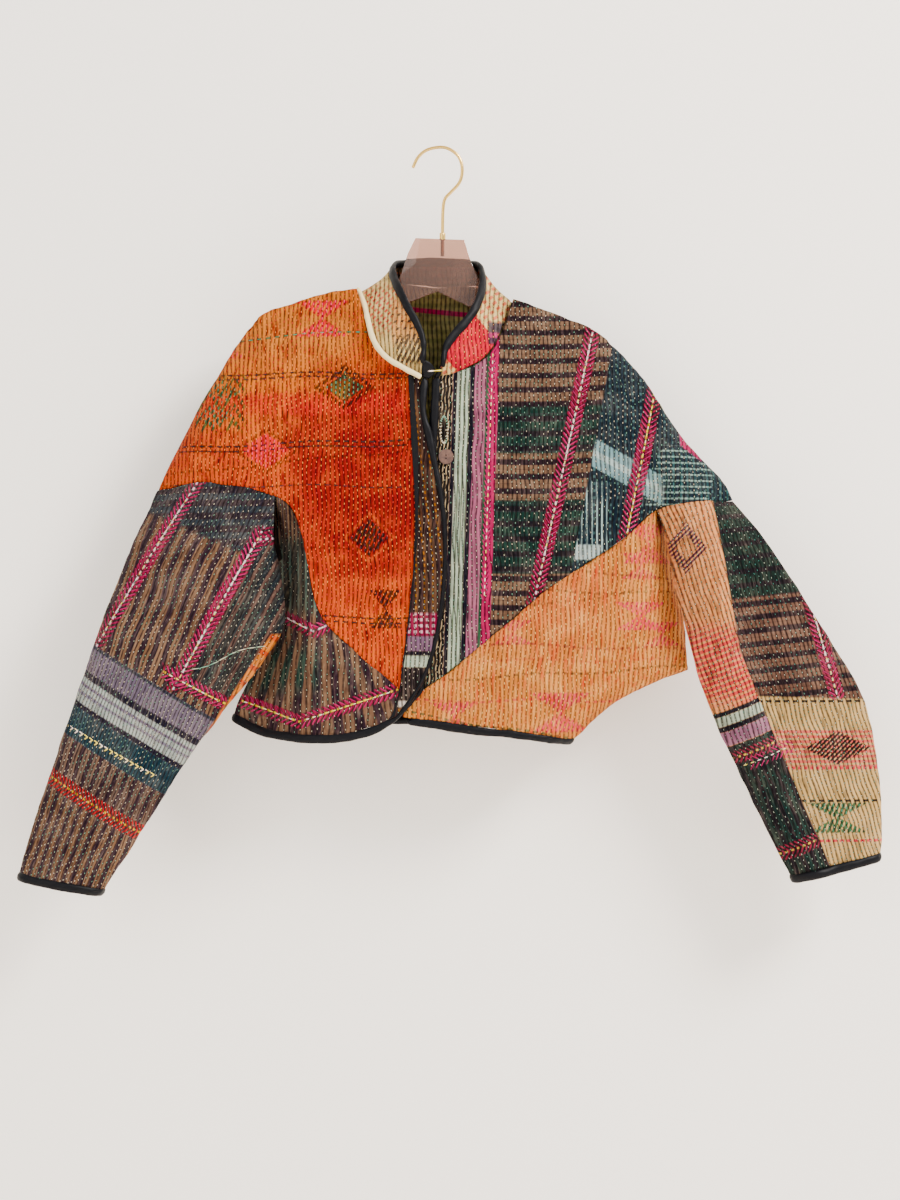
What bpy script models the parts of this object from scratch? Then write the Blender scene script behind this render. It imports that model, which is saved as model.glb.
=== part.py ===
"""A quilted cropped jacket with a stand collar, hanging on a clear hanger.

Metres, +Z up, the fronts face -Y. The origin is where the hanger's hook bears on a rail.
Every panel is an open surface of quilted cloth, given thickness towards the inside of the jacket.
"""

import math
from collections import namedtuple

import bmesh
import bpy
import numpy as np

MM = 0.001
CLOTH = 2.6 * MM
SEAM_GAP = 0.56 * MM
QUILT_RISE = 0.9 * MM
BINDING_WIDTH = 9.0 * MM
BINDING_THICKNESS = 4.6 * MM
COLUMNS_PER_STATION = 4
# Where the rows of an upper and of a lower panel lie, as shares of its length: the shoulder needs a near one.
UPPER_SHARES = (0, 0.06, 0.2, 0.4, 0.6, 0.8, 1)
TIP_SHARES = (0, 0.2, 0.36, 0.52, 0.68, 0.84, 1)
LOWER_SHARES = (0, 0.18, 0.36, 0.54, 0.7, 0.85, 1)
SIDE_COLUMNS = 4
SLEEVE_ROWS_PER_RING = 1
NECK_STATION = 7
SIDE_STATION = 3
ARM_TIP_STATION = 4
COLLAR_ROWS = 4
TAPE_WIDTH = 10
TAPE_THICKNESS = 0.9
HANGER_THICKNESS = 6.5 * MM
HANGER_CLEARANCE = 3.0
HOOK_WIRE = 4.0 * MM

# A station is one line down a front or the back, from the shoulder to the seam under the arm. Millimetres.
Upper = namedtuple("Upper", "top_x top_z top_y mid_x mid_depth seam_x seam_z seam_depth")
# Below that seam the same line runs on to the hem, through three more points.
Lower = namedtuple("Lower", "a_x a_z a_depth b_x b_z b_depth c_x c_z c_depth hem_x hem_z hem_depth")
# A ring of a sleeve, from its outer fold to its inner fold, and where its front lobe begins.
Ring = namedtuple("Ring", "outer_x outer_z inner_x inner_z middle_y lobe flat back lobe_from")

# The wearer's right front, from the outer end of the shoulder to the front edge.
RIGHT_FRONT = [
    Upper(-298, -352, 0, -304, 9, -310, -380, 3),
    Upper(-270, -298, 0, -264, 36, -262, -372, 46),
    Upper(-237, -242, 0, -222, 44, -214, -376, 60),
    Upper(-207, -198, 0, -186, 46, -176, -388, 58),
    Upper(-186, -183, 0, -166, 46, -157, -404, 58),
    Upper(-162, -175, 0, -148, 46, -144, -442, 62),
    Upper(-122, -163, 0, -124, 48, -130, -512, 62),
    Upper(-89, -160, -2, -98, 52, -98, -547, 58),
    Upper(-62, -228, -44, -62, 60, -68, -575, 56),
    Upper(-28, -253, -56, -21, 64, -40, -600, 58),
]
# The right front's finished edge, less its binding: x, z, y.
BAND_EDGE = [(-17, -257, -57), (-20, -285, -60), (-12, -325, -63), (3, -388, -66), (8, -450, -66), (2, -520, -64),
             (-14, -584, -61), (-44, -628, -58)]
# The wearer's left front.
LEFT_FRONT = [
    Upper(316, -366, 0, 322, 9, 328, -390, 3),
    Upper(280, -330, 0, 288, 26, 298, -392, 34),
    Upper(247, -283, 0, 256, 36, 268, -395, 46),
    Upper(217, -242, 0, 226, 34, 240, -402, 40),
    Upper(184, -211, 0, 196, 46, 208, -430, 50),
    Upper(144, -193, 0, 152, 50, 160, -462, 56),
    Upper(108, -179, 0, 112, 50, 115, -495, 56),
    Upper(84, -170, 0, 82, 50, 76, -527, 54),
    Upper(62, -226, -40, 54, 50, 42, -555, 52),
    Upper(32, -248, -50, 24, 50, 14, -578, 50),
    Upper(4, -257, -53, -6, 50, -14, -598, 48),
]
RIGHT_LOWER = [
    Lower(-164, -455, 14, -176, -530, 8, -210, -590, 8, -224, -626, 10),
    Lower(-155, -465, 22, -166, -530, 12, -184, -592, 14, -196, -640, 20),
    Lower(-143, -495, 60, -145, -550, 56, -156, -604, 46, -166, -646, 40),
    Lower(-132, -545, 62, -134, -580, 60, -136, -615, 56, -138, -648, 54),
    Lower(-101, -570, 58, -103, -595, 57, -106, -622, 56, -108, -647, 56),
    Lower(-70, -592, 57, -72, -608, 57, -74, -624, 57, -76, -641, 57),
    Lower(-42, -607, 58, -44, -614, 58, -46, -621, 58, -50, -630, 58),
]
LEFT_LOWER = [
    Lower(256, -490, 14, 277, -577, 10, 206, -603, 12, 152, -654, 14),
    Lower(216, -500, 50, 222, -562, 44, 180, -610, 36, 132, -652, 36),
    Lower(172, -520, 56, 172, -568, 54, 146, -612, 50, 108, -648, 48),
    Lower(124, -540, 57, 124, -578, 56, 108, -614, 53, 80, -644, 50),
    Lower(80, -558, 55, 78, -588, 54, 68, -617, 53, 53, -641, 51),
    Lower(44, -578, 53, 40, -598, 52, 34, -618, 51, 26, -637, 50),
    Lower(15, -592, 50, 12, -605, 50, 8, -619, 50, 0, -633, 49),
    Lower(-20, -606, 48, -26, -613, 48, -32, -620, 48, -38, -628, 48),
]
# The back hangs near the wall. Its stations share the shoulder line of the fronts.
BACK_DEPTH = 30
BACK_MID_DEPTH = 31
RIGHT_BACK_SEAM = [(-310, -380), (-268, -382), (-226, -386), (-188, -390), (-157, -408), (-142, -448), (-122, -500),
                   (-94, -546), (-66, -576), (-34, -597)]
LEFT_BACK_SEAM = [(328, -390), (302, -394), (278, -398), (252, -404), (208, -432), (162, -470), (120, -510),
                  (86, -548), (58, -577), (29, -597)]
BACK_NECK = [(-62, -152, 29), (-31, -147, 37), (0, -146, 39), (31, -149, 37), (60, -156, 29)]
BACK_SEAM_CENTRE = (0, -604)
BACK_HEM_Z = -630
SIDE_BACK = 27
# The side of the body slants outwards to its back fold by this much, where the sleeve hangs before it.
SIDE_SLANT = 14
# The collar stands on the neckline. Its upper edge, from the right front round the back to the left front.
COLLAR_TOP = [(-17, -244, -64), (-18, -216, -62), (-38, -178, -52), (-52, -146, -26), (-50, -131, 0),
              (-34, -128, 24), (0, -127, 32), (34, -129, 24), (50, -133, 0), (54, -158, -24), (42, -190, -46),
              (16, -222, -57), (7, -248, -60)]
# A corded piping lies on the right half of the collar seam.
PIPING_COLUMNS = 13
PIPING_RADIUS = 2.4
RIGHT_SLEEVE = [
    Ring(-326, -420, -179, -436, -34, 40, 40, 26, 0.0),
    Ring(-346, -470, -168, -490, -44, 42, 42, 24, 0.0),
    Ring(-368, -528, -162, -534, -50, 40, 40, 22, 0.0),
    Ring(-384, -576, -194, -574, -52, 36, 36, 24, 0.0),
    Ring(-404, -632, -240, -628, -46, 30, 30, 26, 0.0),
    Ring(-426, -696, -286, -694, -36, 27, 27, 26, 0.0),
    Ring(-448, -758, -332, -764, -28, 25, 25, 24, 0.0),
    Ring(-460, -800, -366, -819, -24, 24, 24, 22, 0.0),
]
LEFT_SLEEVE = [
    Ring(358, -428, 254, -440, -33, 38, 14, 22, 0.46),
    Ring(396, -486, 262, -494, -34, 42, 14, 22, 0.56),
    Ring(432, -544, 278, -550, -30, 42, 14, 22, 0.60),
    Ring(470, -600, 292, -604, -22, 40, 16, 24, 0.64),
    Ring(484, -652, 318, -656, -14, 38, 17, 26, 0.66),
    Ring(491, -708, 343, -710, -10, 34, 16, 24, 0.65),
    Ring(493, -750, 368, -762, -10, 30, 16, 22, 0.62),
    Ring(491, -780, 390, -805, -10, 28, 16, 20, 0.60),
]
# The hanger: a flat plate with a block at its neck, and a hook of brass wire.
HANGER_NECK = [(-24, -99), (30, -101), (36, -121), (48, -150), (80, -179)]
HANGER_TIP_DROP = 26
HANGER_ARCH = [(-46, -176), (0, -158), (46, -180)]
HOOK_PATH = [(6, -118), (6, -98), (7, -60), (14, -49), (25, -37), (28, -22), (24, -8), (12, 1.0), (0, 2.1),
             (-13, -1.5), (-22, -10), (-27, -21)]
BUTTON = (10, -344)
BUTTON_RADIUS = 8.2
BUTTON_THICKNESS = 2.6
COLOURS = {
    "saffron": (0.72, 0.25, 0.07),
    "stripe": (0.20, 0.13, 0.12),
    "cream": (0.70, 0.55, 0.30),
    "black": (0.012, 0.012, 0.018),
    "rose_acrylic": (0.55, 0.30, 0.24),
    "brass": (0.80, 0.58, 0.25),
    "horn": (0.36, 0.22, 0.18),
}


def clear_scene():
    for item in list(bpy.data.objects):
        bpy.data.objects.remove(item)


def material(name, metallic=0.0, roughness=0.85):
    found = bpy.data.materials.get(name)
    if found:
        return found
    made = bpy.data.materials.new(name)
    made.use_nodes = True
    shader = made.node_tree.nodes["Principled BSDF"]
    shader.inputs["Base Color"].default_value = (*COLOURS[name], 1)
    shader.inputs["Metallic"].default_value = metallic
    shader.inputs["Roughness"].default_value = roughness
    return made


def through(points, steps):
    """Points along a Catmull-Rom curve through the given ones, with so many steps between each two."""
    p = np.asarray(points, float)
    p = np.vstack([2 * p[0] - p[1], p, 2 * p[-1] - p[-2]])
    made = []
    for i in range(1, len(p) - 2):
        for k in range(steps):
            t = k / steps
            a, b, c, d = p[i - 1], p[i], p[i + 1], p[i + 2]
            made.append(0.5 * (2 * b + (c - a) * t + (2 * a - 5 * b + 4 * c - d) * t**2
                               + (3 * b - a - 3 * c + d) * t**3))
    return np.array(made + [p[-2]])


def resampled(points, shares):
    """Points along a curve through the given ones, at these shares of its length."""
    fine = through(points, 16)
    run = np.concatenate([[0], np.cumsum(np.linalg.norm(np.diff(fine, axis=0), axis=1))])
    at = run[-1] * np.asarray(shares)
    return np.stack([np.interp(at, run, fine[:, k]) for k in range(fine.shape[1])], axis=1)


def upper_line(s, facing):
    """One station from the shoulder to the seam: facing is -1 on a front and 1 on the back."""
    round_over = 0.42 * s.mid_depth if s.top_y > -10 and s.top_y < 10 else 2
    drop = 7 if abs(s.top_y) < 10 else 26
    middle_z = 0.5 * (s.top_z + s.seam_z)
    near_z = max(s.top_z - drop, middle_z + 4)
    near_x = s.top_x + (s.mid_x - s.top_x) * (s.top_z - near_z) / max(1, s.top_z - middle_z)
    line = [
        (s.top_x, s.top_y, s.top_z),
        (near_x, s.top_y + facing * round_over, near_z),
        (s.mid_x, facing * s.mid_depth, middle_z),
        (s.seam_x, facing * s.seam_depth, s.seam_z),
    ]
    return resampled(line, TIP_SHARES if s.mid_depth < 10 else UPPER_SHARES)


def lower_line(upper, low, facing):
    line = [
        (upper.seam_x, facing * upper.seam_depth, upper.seam_z),
        (low.a_x, facing * low.a_depth, low.a_z),
        (low.b_x, facing * low.b_depth, low.b_z),
        (low.c_x, facing * low.c_depth, low.c_z),
        (low.hem_x, facing * low.hem_depth, low.hem_z),
    ]
    return resampled(line, LOWER_SHARES)


def across(lines):
    """A grid [column][row] from station lines, with smooth columns between them."""
    lines = np.array(lines)
    return through(lines.reshape(len(lines), -1), COLUMNS_PER_STATION).reshape(-1, lines.shape[1], 3)


def grid_normals(grid, closed):
    """The outward direction at each point of a grid [column][row]."""
    if closed:
        du = np.roll(grid, -1, axis=0) - np.roll(grid, 1, axis=0)
    else:
        du = np.gradient(grid, axis=0)
    dv = np.gradient(grid, axis=1)
    n = np.cross(du, dv)
    return n / np.maximum(np.linalg.norm(n, axis=2, keepdims=True), 1e-9)


class Panel:
    """A cut piece of cloth: a grid of points on its outer face, in millimetres."""

    def __init__(self, name, grid, colour, closed=False, flip=False, quilted=True):
        self.name, self.colour, self.closed, self.quilted = name, colour, closed, quilted
        self.thickness = CLOTH / MM
        self.grid = grid[::-1] if flip else grid
        self.normals = grid_normals(self.grid, closed)


def share_seam_normals(panels):
    """Two panels that meet at a seam get one common direction there, so that their walls lie side by side."""
    sums = {}
    keys = []
    for panel in panels:
        rounded = np.round(panel.grid * 20).astype(int)
        keys.append(rounded)
        columns, rows = rounded.shape[:2]
        for i in range(columns):
            for j in range(rows):
                if on_border(panel, i, j):
                    key = tuple(rounded[i, j])
                    sums[key] = sums.get(key, 0) + panel.normals[i, j]
    for panel, rounded in zip(panels, keys):
        columns, rows = rounded.shape[:2]
        for i in range(columns):
            for j in range(rows):
                if on_border(panel, i, j):
                    n = sums[tuple(rounded[i, j])]
                    panel.normals[i, j] = n / np.linalg.norm(n)


def on_border(panel, i, j):
    columns, rows = panel.grid.shape[:2]
    return j in (0, rows - 1) or (not panel.closed and i in (0, columns - 1))


def drawn_in(grid, closed, gap):
    """The grid with its borders moved in by a gap, along its own rows and columns."""
    g = grid.copy()

    def towards(edge, inner):
        step = inner - edge
        return edge + step * gap / np.maximum(np.linalg.norm(step, axis=-1, keepdims=True), 1e-9)

    g[:, 0], g[:, -1] = towards(grid[:, 0], grid[:, 1]), towards(grid[:, -1], grid[:, -2])
    if not closed:
        first, last = g[0].copy(), g[-1].copy()
        g[0], g[-1] = towards(first, g[1]), towards(last, g[-2])
    return g


def new_object(name, verts, faces, colour, metallic=0.0, roughness=0.85):
    mesh = bpy.data.meshes.new(name)
    mesh.from_pydata([tuple(v) for v in verts], [], faces)
    bm = bmesh.new()
    bm.from_mesh(mesh)
    bmesh.ops.recalc_face_normals(bm, faces=bm.faces)
    if bm.calc_volume(signed=True) < 0:
        bmesh.ops.reverse_faces(bm, faces=bm.faces)
    bm.to_mesh(mesh)
    bm.free()
    mesh.materials.append(material(colour, metallic, roughness))
    item = bpy.data.objects.new(name, mesh)
    PARTS.objects.link(item)
    mesh.shade_smooth()
    return item


def outer_face(panel):
    """The grid of a panel drawn in by its seam gap, and raised between its quilting rows."""
    outer = drawn_in(panel.grid, panel.closed, SEAM_GAP / MM / 2)
    if panel.quilted:
        outer[1:-1:2, 1:-1] += panel.normals[1:-1:2, 1:-1] * QUILT_RISE / MM
    return outer


def wall(panel):
    """The closed solid of a panel: its outer face, and a plain inner face."""
    inner = drawn_in(panel.grid, panel.closed, SEAM_GAP / MM / 2) - panel.normals * panel.thickness
    outer = outer_face(panel)
    columns, rows = outer.shape[:2]
    verts = np.concatenate([outer.reshape(-1, 3), inner.reshape(-1, 3)]) * MM
    size = columns * rows
    last = columns if panel.closed else columns - 1

    def at(i, j, side):
        return side * size + (i % columns) * rows + j

    faces = []
    for i in range(last):
        for j in range(rows - 1):
            faces.append((at(i, j, 0), at(i + 1, j, 0), at(i + 1, j + 1, 0), at(i, j + 1, 0)))
            faces.append((at(i, j, 1), at(i, j + 1, 1), at(i + 1, j + 1, 1), at(i + 1, j, 1)))
        for j in (0, rows - 1):
            faces.append((at(i, j, 0), at(i, j, 1), at(i + 1, j, 1), at(i + 1, j, 0)))
    if not panel.closed:
        for i in (0, columns - 1):
            for j in range(rows - 1):
                faces.append((at(i, j, 0), at(i, j + 1, 0), at(i, j + 1, 1), at(i, j, 1)))
    return new_object(panel.name, verts, faces, panel.colour)


def bound_edge(name, edge, inner, normals, closed=False, width=BINDING_WIDTH, skip=(0, 0)):
    """A binding along an edge: an oval bar in the plane of the cloth, just past the edge."""
    away = edge - inner
    away /= np.linalg.norm(away, axis=1, keepdims=True)
    sides = 8
    flat_side = width / MM / 2 * math.cos(math.pi / sides)
    middle = edge - normals * CLOTH / MM / 2 + away * (flat_side + SEAM_GAP / MM / 3)
    if not closed:
        stop = len(edge) - skip[1]
        middle, away, normals = middle[skip[0]:stop], away[skip[0]:stop], normals[skip[0]:stop]
    verts = []
    for m, a, n in zip(middle, away, normals):
        for k in range(sides):
            turn = 2 * math.pi * (k + 0.5) / sides
            verts.append(m + a * math.cos(turn) * width / MM / 2 + n * math.sin(turn) * BINDING_THICKNESS / MM / 2)
    count = len(middle)
    faces = []
    for i in range(count if closed else count - 1):
        for k in range(sides):
            one, two = i * sides, (i + 1) % count * sides
            faces.append((one + k, one + (k + 1) % sides, two + (k + 1) % sides, two + k))
    if not closed:
        faces.append(tuple(range(sides)))
        faces.append(tuple(range((count - 1) * sides, count * sides))[::-1])
    return new_object(name, np.array(verts) * MM, faces, "black")


def tube(name, points, radius, colour, resolution=2, **finish):
    """A round bar along points in millimetres."""
    curve = bpy.data.curves.new(name, "CURVE")
    curve.dimensions = "3D"
    curve.bevel_depth = radius * MM
    curve.bevel_resolution = resolution
    curve.use_fill_caps = True
    line = curve.splines.new("POLY")
    line.points.add(len(points) - 1)
    for point, place in zip(line.points, points):
        point.co = (*(np.array(place) * MM), 1)
    curve.materials.append(material(colour, **finish))
    item = bpy.data.objects.new(name, curve)
    PARTS.objects.link(item)
    return item


def ring_points(ring, front_count, side_count, back_count):
    """One ring of a sleeve: across the front from the outer fold, round the inner fold, and back."""
    made = []
    total = front_count + side_count + back_count
    for k in range(total):
        if k < front_count:
            share, facing = k / front_count, -1
            turn = math.pi * 0.90 * share
        elif k < front_count + side_count:
            share, facing = (k - front_count) / side_count, 0
            turn = math.pi * (0.90 + 0.20 * share)
        else:
            share, facing = (k - front_count - side_count) / back_count, 1
            turn = math.pi * (1.10 + 0.90 * share)
        over = (1 - math.cos(turn)) / 2
        if math.sin(turn) >= 0:
            step = min(1, max(0, (over - ring.lobe_from) / 0.09))
            reach = -(ring.flat + (ring.lobe - ring.flat) * step * step * (3 - 2 * step))
        else:
            reach = ring.back
        y = ring.middle_y + reach * abs(math.sin(turn)) ** 0.8
        x = ring.outer_x + (ring.inner_x - ring.outer_x) * over
        z = ring.outer_z + (ring.inner_z - ring.outer_z) * over
        made.append((x, y, z))
    return np.array(made)


def sleeve_grid(front_grid, back_grid, side_top, rings):
    """The sleeve's grid: its top row is the seam of the shoulder, and its rings lead on to the cuff."""
    count = 3 * COLUMNS_PER_STATION
    top = np.concatenate([
        front_grid[:count, -1],
        [front_grid[count, -1], *side_top],
        back_grid[count:0:-1, -1],
    ])
    front, side, back = count, SIDE_COLUMNS, count
    rows = [top] + [ring_points(r, front, side, back) for r in rings]
    lines = np.array(rows)
    steps = SLEEVE_ROWS_PER_RING
    grid = through(lines.reshape(len(lines), -1), steps).reshape(-1, lines.shape[1], 3)
    return grid.transpose(1, 0, 2)


def sleeve_halves(sleeve, outwards):
    """The front and the back of a sleeve, which meet along its outer fold and under the arm."""
    count = len(sleeve.grid)
    fold = 3 * COLUMNS_PER_STATION + 1
    for side, columns in (("front", np.arange(fold + 1)), ("back", np.arange(fold, count + 1) % count)):
        columns = columns if outwards > 0 else (count - 1 - columns)[::-1]
        half = Panel(f"{sleeve.name}_{side}", sleeve.grid[columns], sleeve.colour)
        half.normals = sleeve.normals[columns]
        yield half


def under_arm_columns(sleeve, outwards):
    """The columns of a sleeve whose top lies on the seam with the side of the body."""
    first = SIDE_STATION * COLUMNS_PER_STATION
    columns = np.arange(first, first + SIDE_COLUMNS + 1)
    return columns if outwards > 0 else len(sleeve.grid) - 1 - columns


def side_columns(front_line, back_line):
    """Columns across the side of the body, between the last front line and the first back line."""
    return [front_line + (back_line - front_line) * k / SIDE_COLUMNS for k in range(1, SIDE_COLUMNS)]


def back_line(front, seam, deep, middle, neck=None):
    """A station of the back, from the shoulder or the back of the neck to the seam."""
    top_x, top_y, top_z = neck or (front.top_x, front.top_y, front.top_z)
    x, z = seam
    round_over = 0.42 * middle
    near_z = top_z - 7
    line = [(top_x, top_y, top_z), (top_x, max(round_over, top_y + 2), near_z),
            (0.5 * (top_x + x), max(middle, top_y), 0.5 * (top_z + z)), (x, deep, z)]
    return resampled(line, TIP_SHARES if middle < 10 else UPPER_SHARES)


def back_lower_line(seam_point, low, side):
    """A station of the lower back: straight to the hem, but along the fold where the side panel turns."""
    x, y, z = seam_point
    hem = (low.hem_x, BACK_DEPTH - 3, BACK_HEM_Z) if not side else (low.hem_x, SIDE_BACK, low.hem_z)
    if side:
        slant = math.copysign(SIDE_SLANT, low.a_x)
        between = [(low.a_x + slant, SIDE_BACK, low.a_z), (low.b_x + slant / 3, SIDE_BACK, low.b_z),
                   (low.c_x, SIDE_BACK, low.c_z)]
    else:
        between = [tuple(np.array((x, y, z)) * (1 - t) + np.array(hem) * t) for t in (0.25, 0.5, 0.75)]
    return resampled([(x, y, z), *between, hem], LOWER_SHARES)


def front_grid(stations):
    """A front's upper grid. Its shoulder and its neckline are two curves that meet at the neck point."""
    lines = [upper_line(s, -1) for s in stations]
    grid = across(lines)
    turn_at_neck(grid, lines)
    return grid


def turn_at_neck(grid, lines):
    """The two highest rows turn a corner at the neck point, so that they don't swing above the shoulder."""
    cut = NECK_STATION * COLUMNS_PER_STATION
    for row in (0, 1):
        tops = np.array([line[row] for line in lines])
        grid[:cut + 1, row] = through(tops[:NECK_STATION + 1], COLUMNS_PER_STATION)
        grid[cut:, row] = through(tops[NECK_STATION:], COLUMNS_PER_STATION)


def lower_grid(front_upper, back_upper, stations, lowers, reverse):
    """The side panel of the body: the lower front, round the side, and the lower back to its centre."""
    first = SIDE_STATION * COLUMNS_PER_STATION
    front = across([lower_line(u, low, -1) for u, low in zip(stations[SIDE_STATION:], lowers)])
    front[:, 0] = front_upper[first:first + len(front), -1]
    seams = back_upper[first::COLUMNS_PER_STATION, -1]
    backs = []
    for k, seam_point in enumerate(seams):
        hem_x = lowers[0].hem_x * (1 - k / (len(seams) - 1))
        backs.append(back_lower_line(seam_point, lowers[0]._replace(hem_x=hem_x), side=(k == 0)))
    back = across(backs)
    back[:, 0] = back_upper[first:first + len(back), -1]
    grid = np.concatenate([front[::-1], side_columns(front[0], back[0]), back])
    return grid[::-1] if reverse else grid, front, back


def strip(name, middle, step, normals, half_width, lift, thickness, colour):
    """A narrow flat tape that lies on a panel, from the panel's points moved out."""
    step = step / np.linalg.norm(step, axis=1, keepdims=True)
    rows = np.array([middle + step * w + normals * (lift + thickness) for w in (-half_width, 0, half_width)])
    tape = Panel(name, rows, colour, quilted=False)
    tape.normals = np.array([normals] * 3)
    tape.thickness = thickness
    return wall(tape)


def collar_grid(base, top):
    """The stand collar between the neckline and its upper edge, a little rounded outwards."""
    rows = []
    for k in range(COLLAR_ROWS + 1):
        t = k / COLLAR_ROWS
        rows.append(base + (top - base) * t)
    return np.array(rows).transpose(1, 0, 2)


def hanger_outline(right, left):
    """The plate, from its neck block down each arm just under the shoulder cloth, and its lower arch."""
    under = CLOTH / MM + HANGER_CLEARANCE
    arm_l = [(s.top_x, s.top_z - under) for s in right[ARM_TIP_STATION:NECK_STATION]]
    arm_r = [(s.top_x, s.top_z - under) for s in left[ARM_TIP_STATION:NECK_STATION]]
    outline = [*HANGER_NECK, *arm_r[::-1]]
    tip = arm_r[0]
    outline += [(tip[0] - 4, tip[1] - HANGER_TIP_DROP)]
    outline += HANGER_ARCH[::-1]
    tip = arm_l[0]
    outline += [(tip[0] + 4, tip[1] - HANGER_TIP_DROP), *arm_l]
    outline += [(-82, -168), (-44, -150), (-32, -115)]
    return outline


def hanger(right, left):
    curve = bpy.data.curves.new("hanger_plate", "CURVE")
    curve.dimensions = "2D"
    curve.fill_mode = "BOTH"
    curve.extrude = HANGER_THICKNESS / 2
    outline = hanger_outline(right, left)
    line = curve.splines.new("POLY")
    line.points.add(len(outline) - 1)
    for point, (x, z) in zip(line.points, outline):
        point.co = (x * MM, z * MM, 0, 1)
    line.use_cyclic_u = True
    drawn = bpy.data.objects.new("hanger_drawn", curve)
    drawn.rotation_euler = (math.pi / 2, 0, 0)
    bpy.context.scene.collection.objects.link(drawn)
    bpy.context.view_layer.update()
    mesh = bpy.data.meshes.new_from_object(drawn.evaluated_get(bpy.context.evaluated_depsgraph_get()))
    mesh.transform(drawn.matrix_world)
    bpy.data.objects.remove(drawn)
    bm = bmesh.new()
    bm.from_mesh(mesh)
    bmesh.ops.remove_doubles(bm, verts=bm.verts, dist=0.00001)
    bm.to_mesh(mesh)
    bm.free()
    mesh.materials.clear()
    mesh.materials.append(material("rose_acrylic", roughness=0.15))
    plate = bpy.data.objects.new("hanger_plate", mesh)
    PARTS.objects.link(plate)
    x, _ = HOOK_PATH[0]
    depth = HANGER_NECK[0][1] - HOOK_PATH[0][1] + 1
    bore(plate, (x, 0, HOOK_PATH[0][1] - 1 + (depth + 10) / 2), HOOK_WIRE / MM / 2 + 0.3, depth + 10, (0, 0, 0))
    points = through(HOOK_PATH, 3)
    tube("hanger_hook", [(p[0], 0, p[1]) for p in points], HOOK_WIRE / MM / 2, "brass", metallic=1.0, roughness=0.25)


def bore(item, place, radius, depth, turn):
    """A round hole cut in a piece, by a cutter that stays out of the render."""
    bpy.ops.mesh.primitive_cylinder_add(vertices=16, radius=radius * MM, depth=depth * MM,
                                        location=[v * MM for v in place], rotation=turn)
    cutter = bpy.context.object
    cutter.name = item.name + "_cutter"
    for owner in list(cutter.users_collection):
        owner.objects.unlink(cutter)
    CUTTERS.objects.link(cutter)
    cutter.hide_render = True
    cutter.display_type = "WIRE"
    cut = item.modifiers.new("bore", "BOOLEAN")
    cut.object = cutter


def button(panel):
    """A flat two-hole button, just clear of the highest cloth under it."""
    x, z = BUTTON
    fine = outer_face(panel)
    for _ in range(2):
        fine = np.array([line + (after - line) * k / 8 for line, after in zip(fine, fine[1:]) for k in range(8)])
        fine = fine.transpose(1, 0, 2)
    under = np.linalg.norm(fine[:, :, [0, 2]] - (x, z), axis=2) < BUTTON_RADIUS + 1
    y = fine[under][:, 1].min() - 0.35 - BUTTON_THICKNESS / 2
    bpy.ops.mesh.primitive_cylinder_add(vertices=24, radius=BUTTON_RADIUS * MM, depth=BUTTON_THICKNESS * MM,
                                        location=(x * MM, y * MM, z * MM), rotation=(math.pi / 2, 0, 0))
    disc = bpy.context.object
    disc.name = "button"
    disc.data.materials.append(material("horn", roughness=0.5))
    for owner in list(disc.users_collection):
        owner.objects.unlink(disc)
    PARTS.objects.link(disc)
    for side in (-1, 1):
        bore(disc, (x, y, z + side * 1.7), 0.8, BUTTON_THICKNESS * 3, (math.pi / 2, 0, 0))


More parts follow.
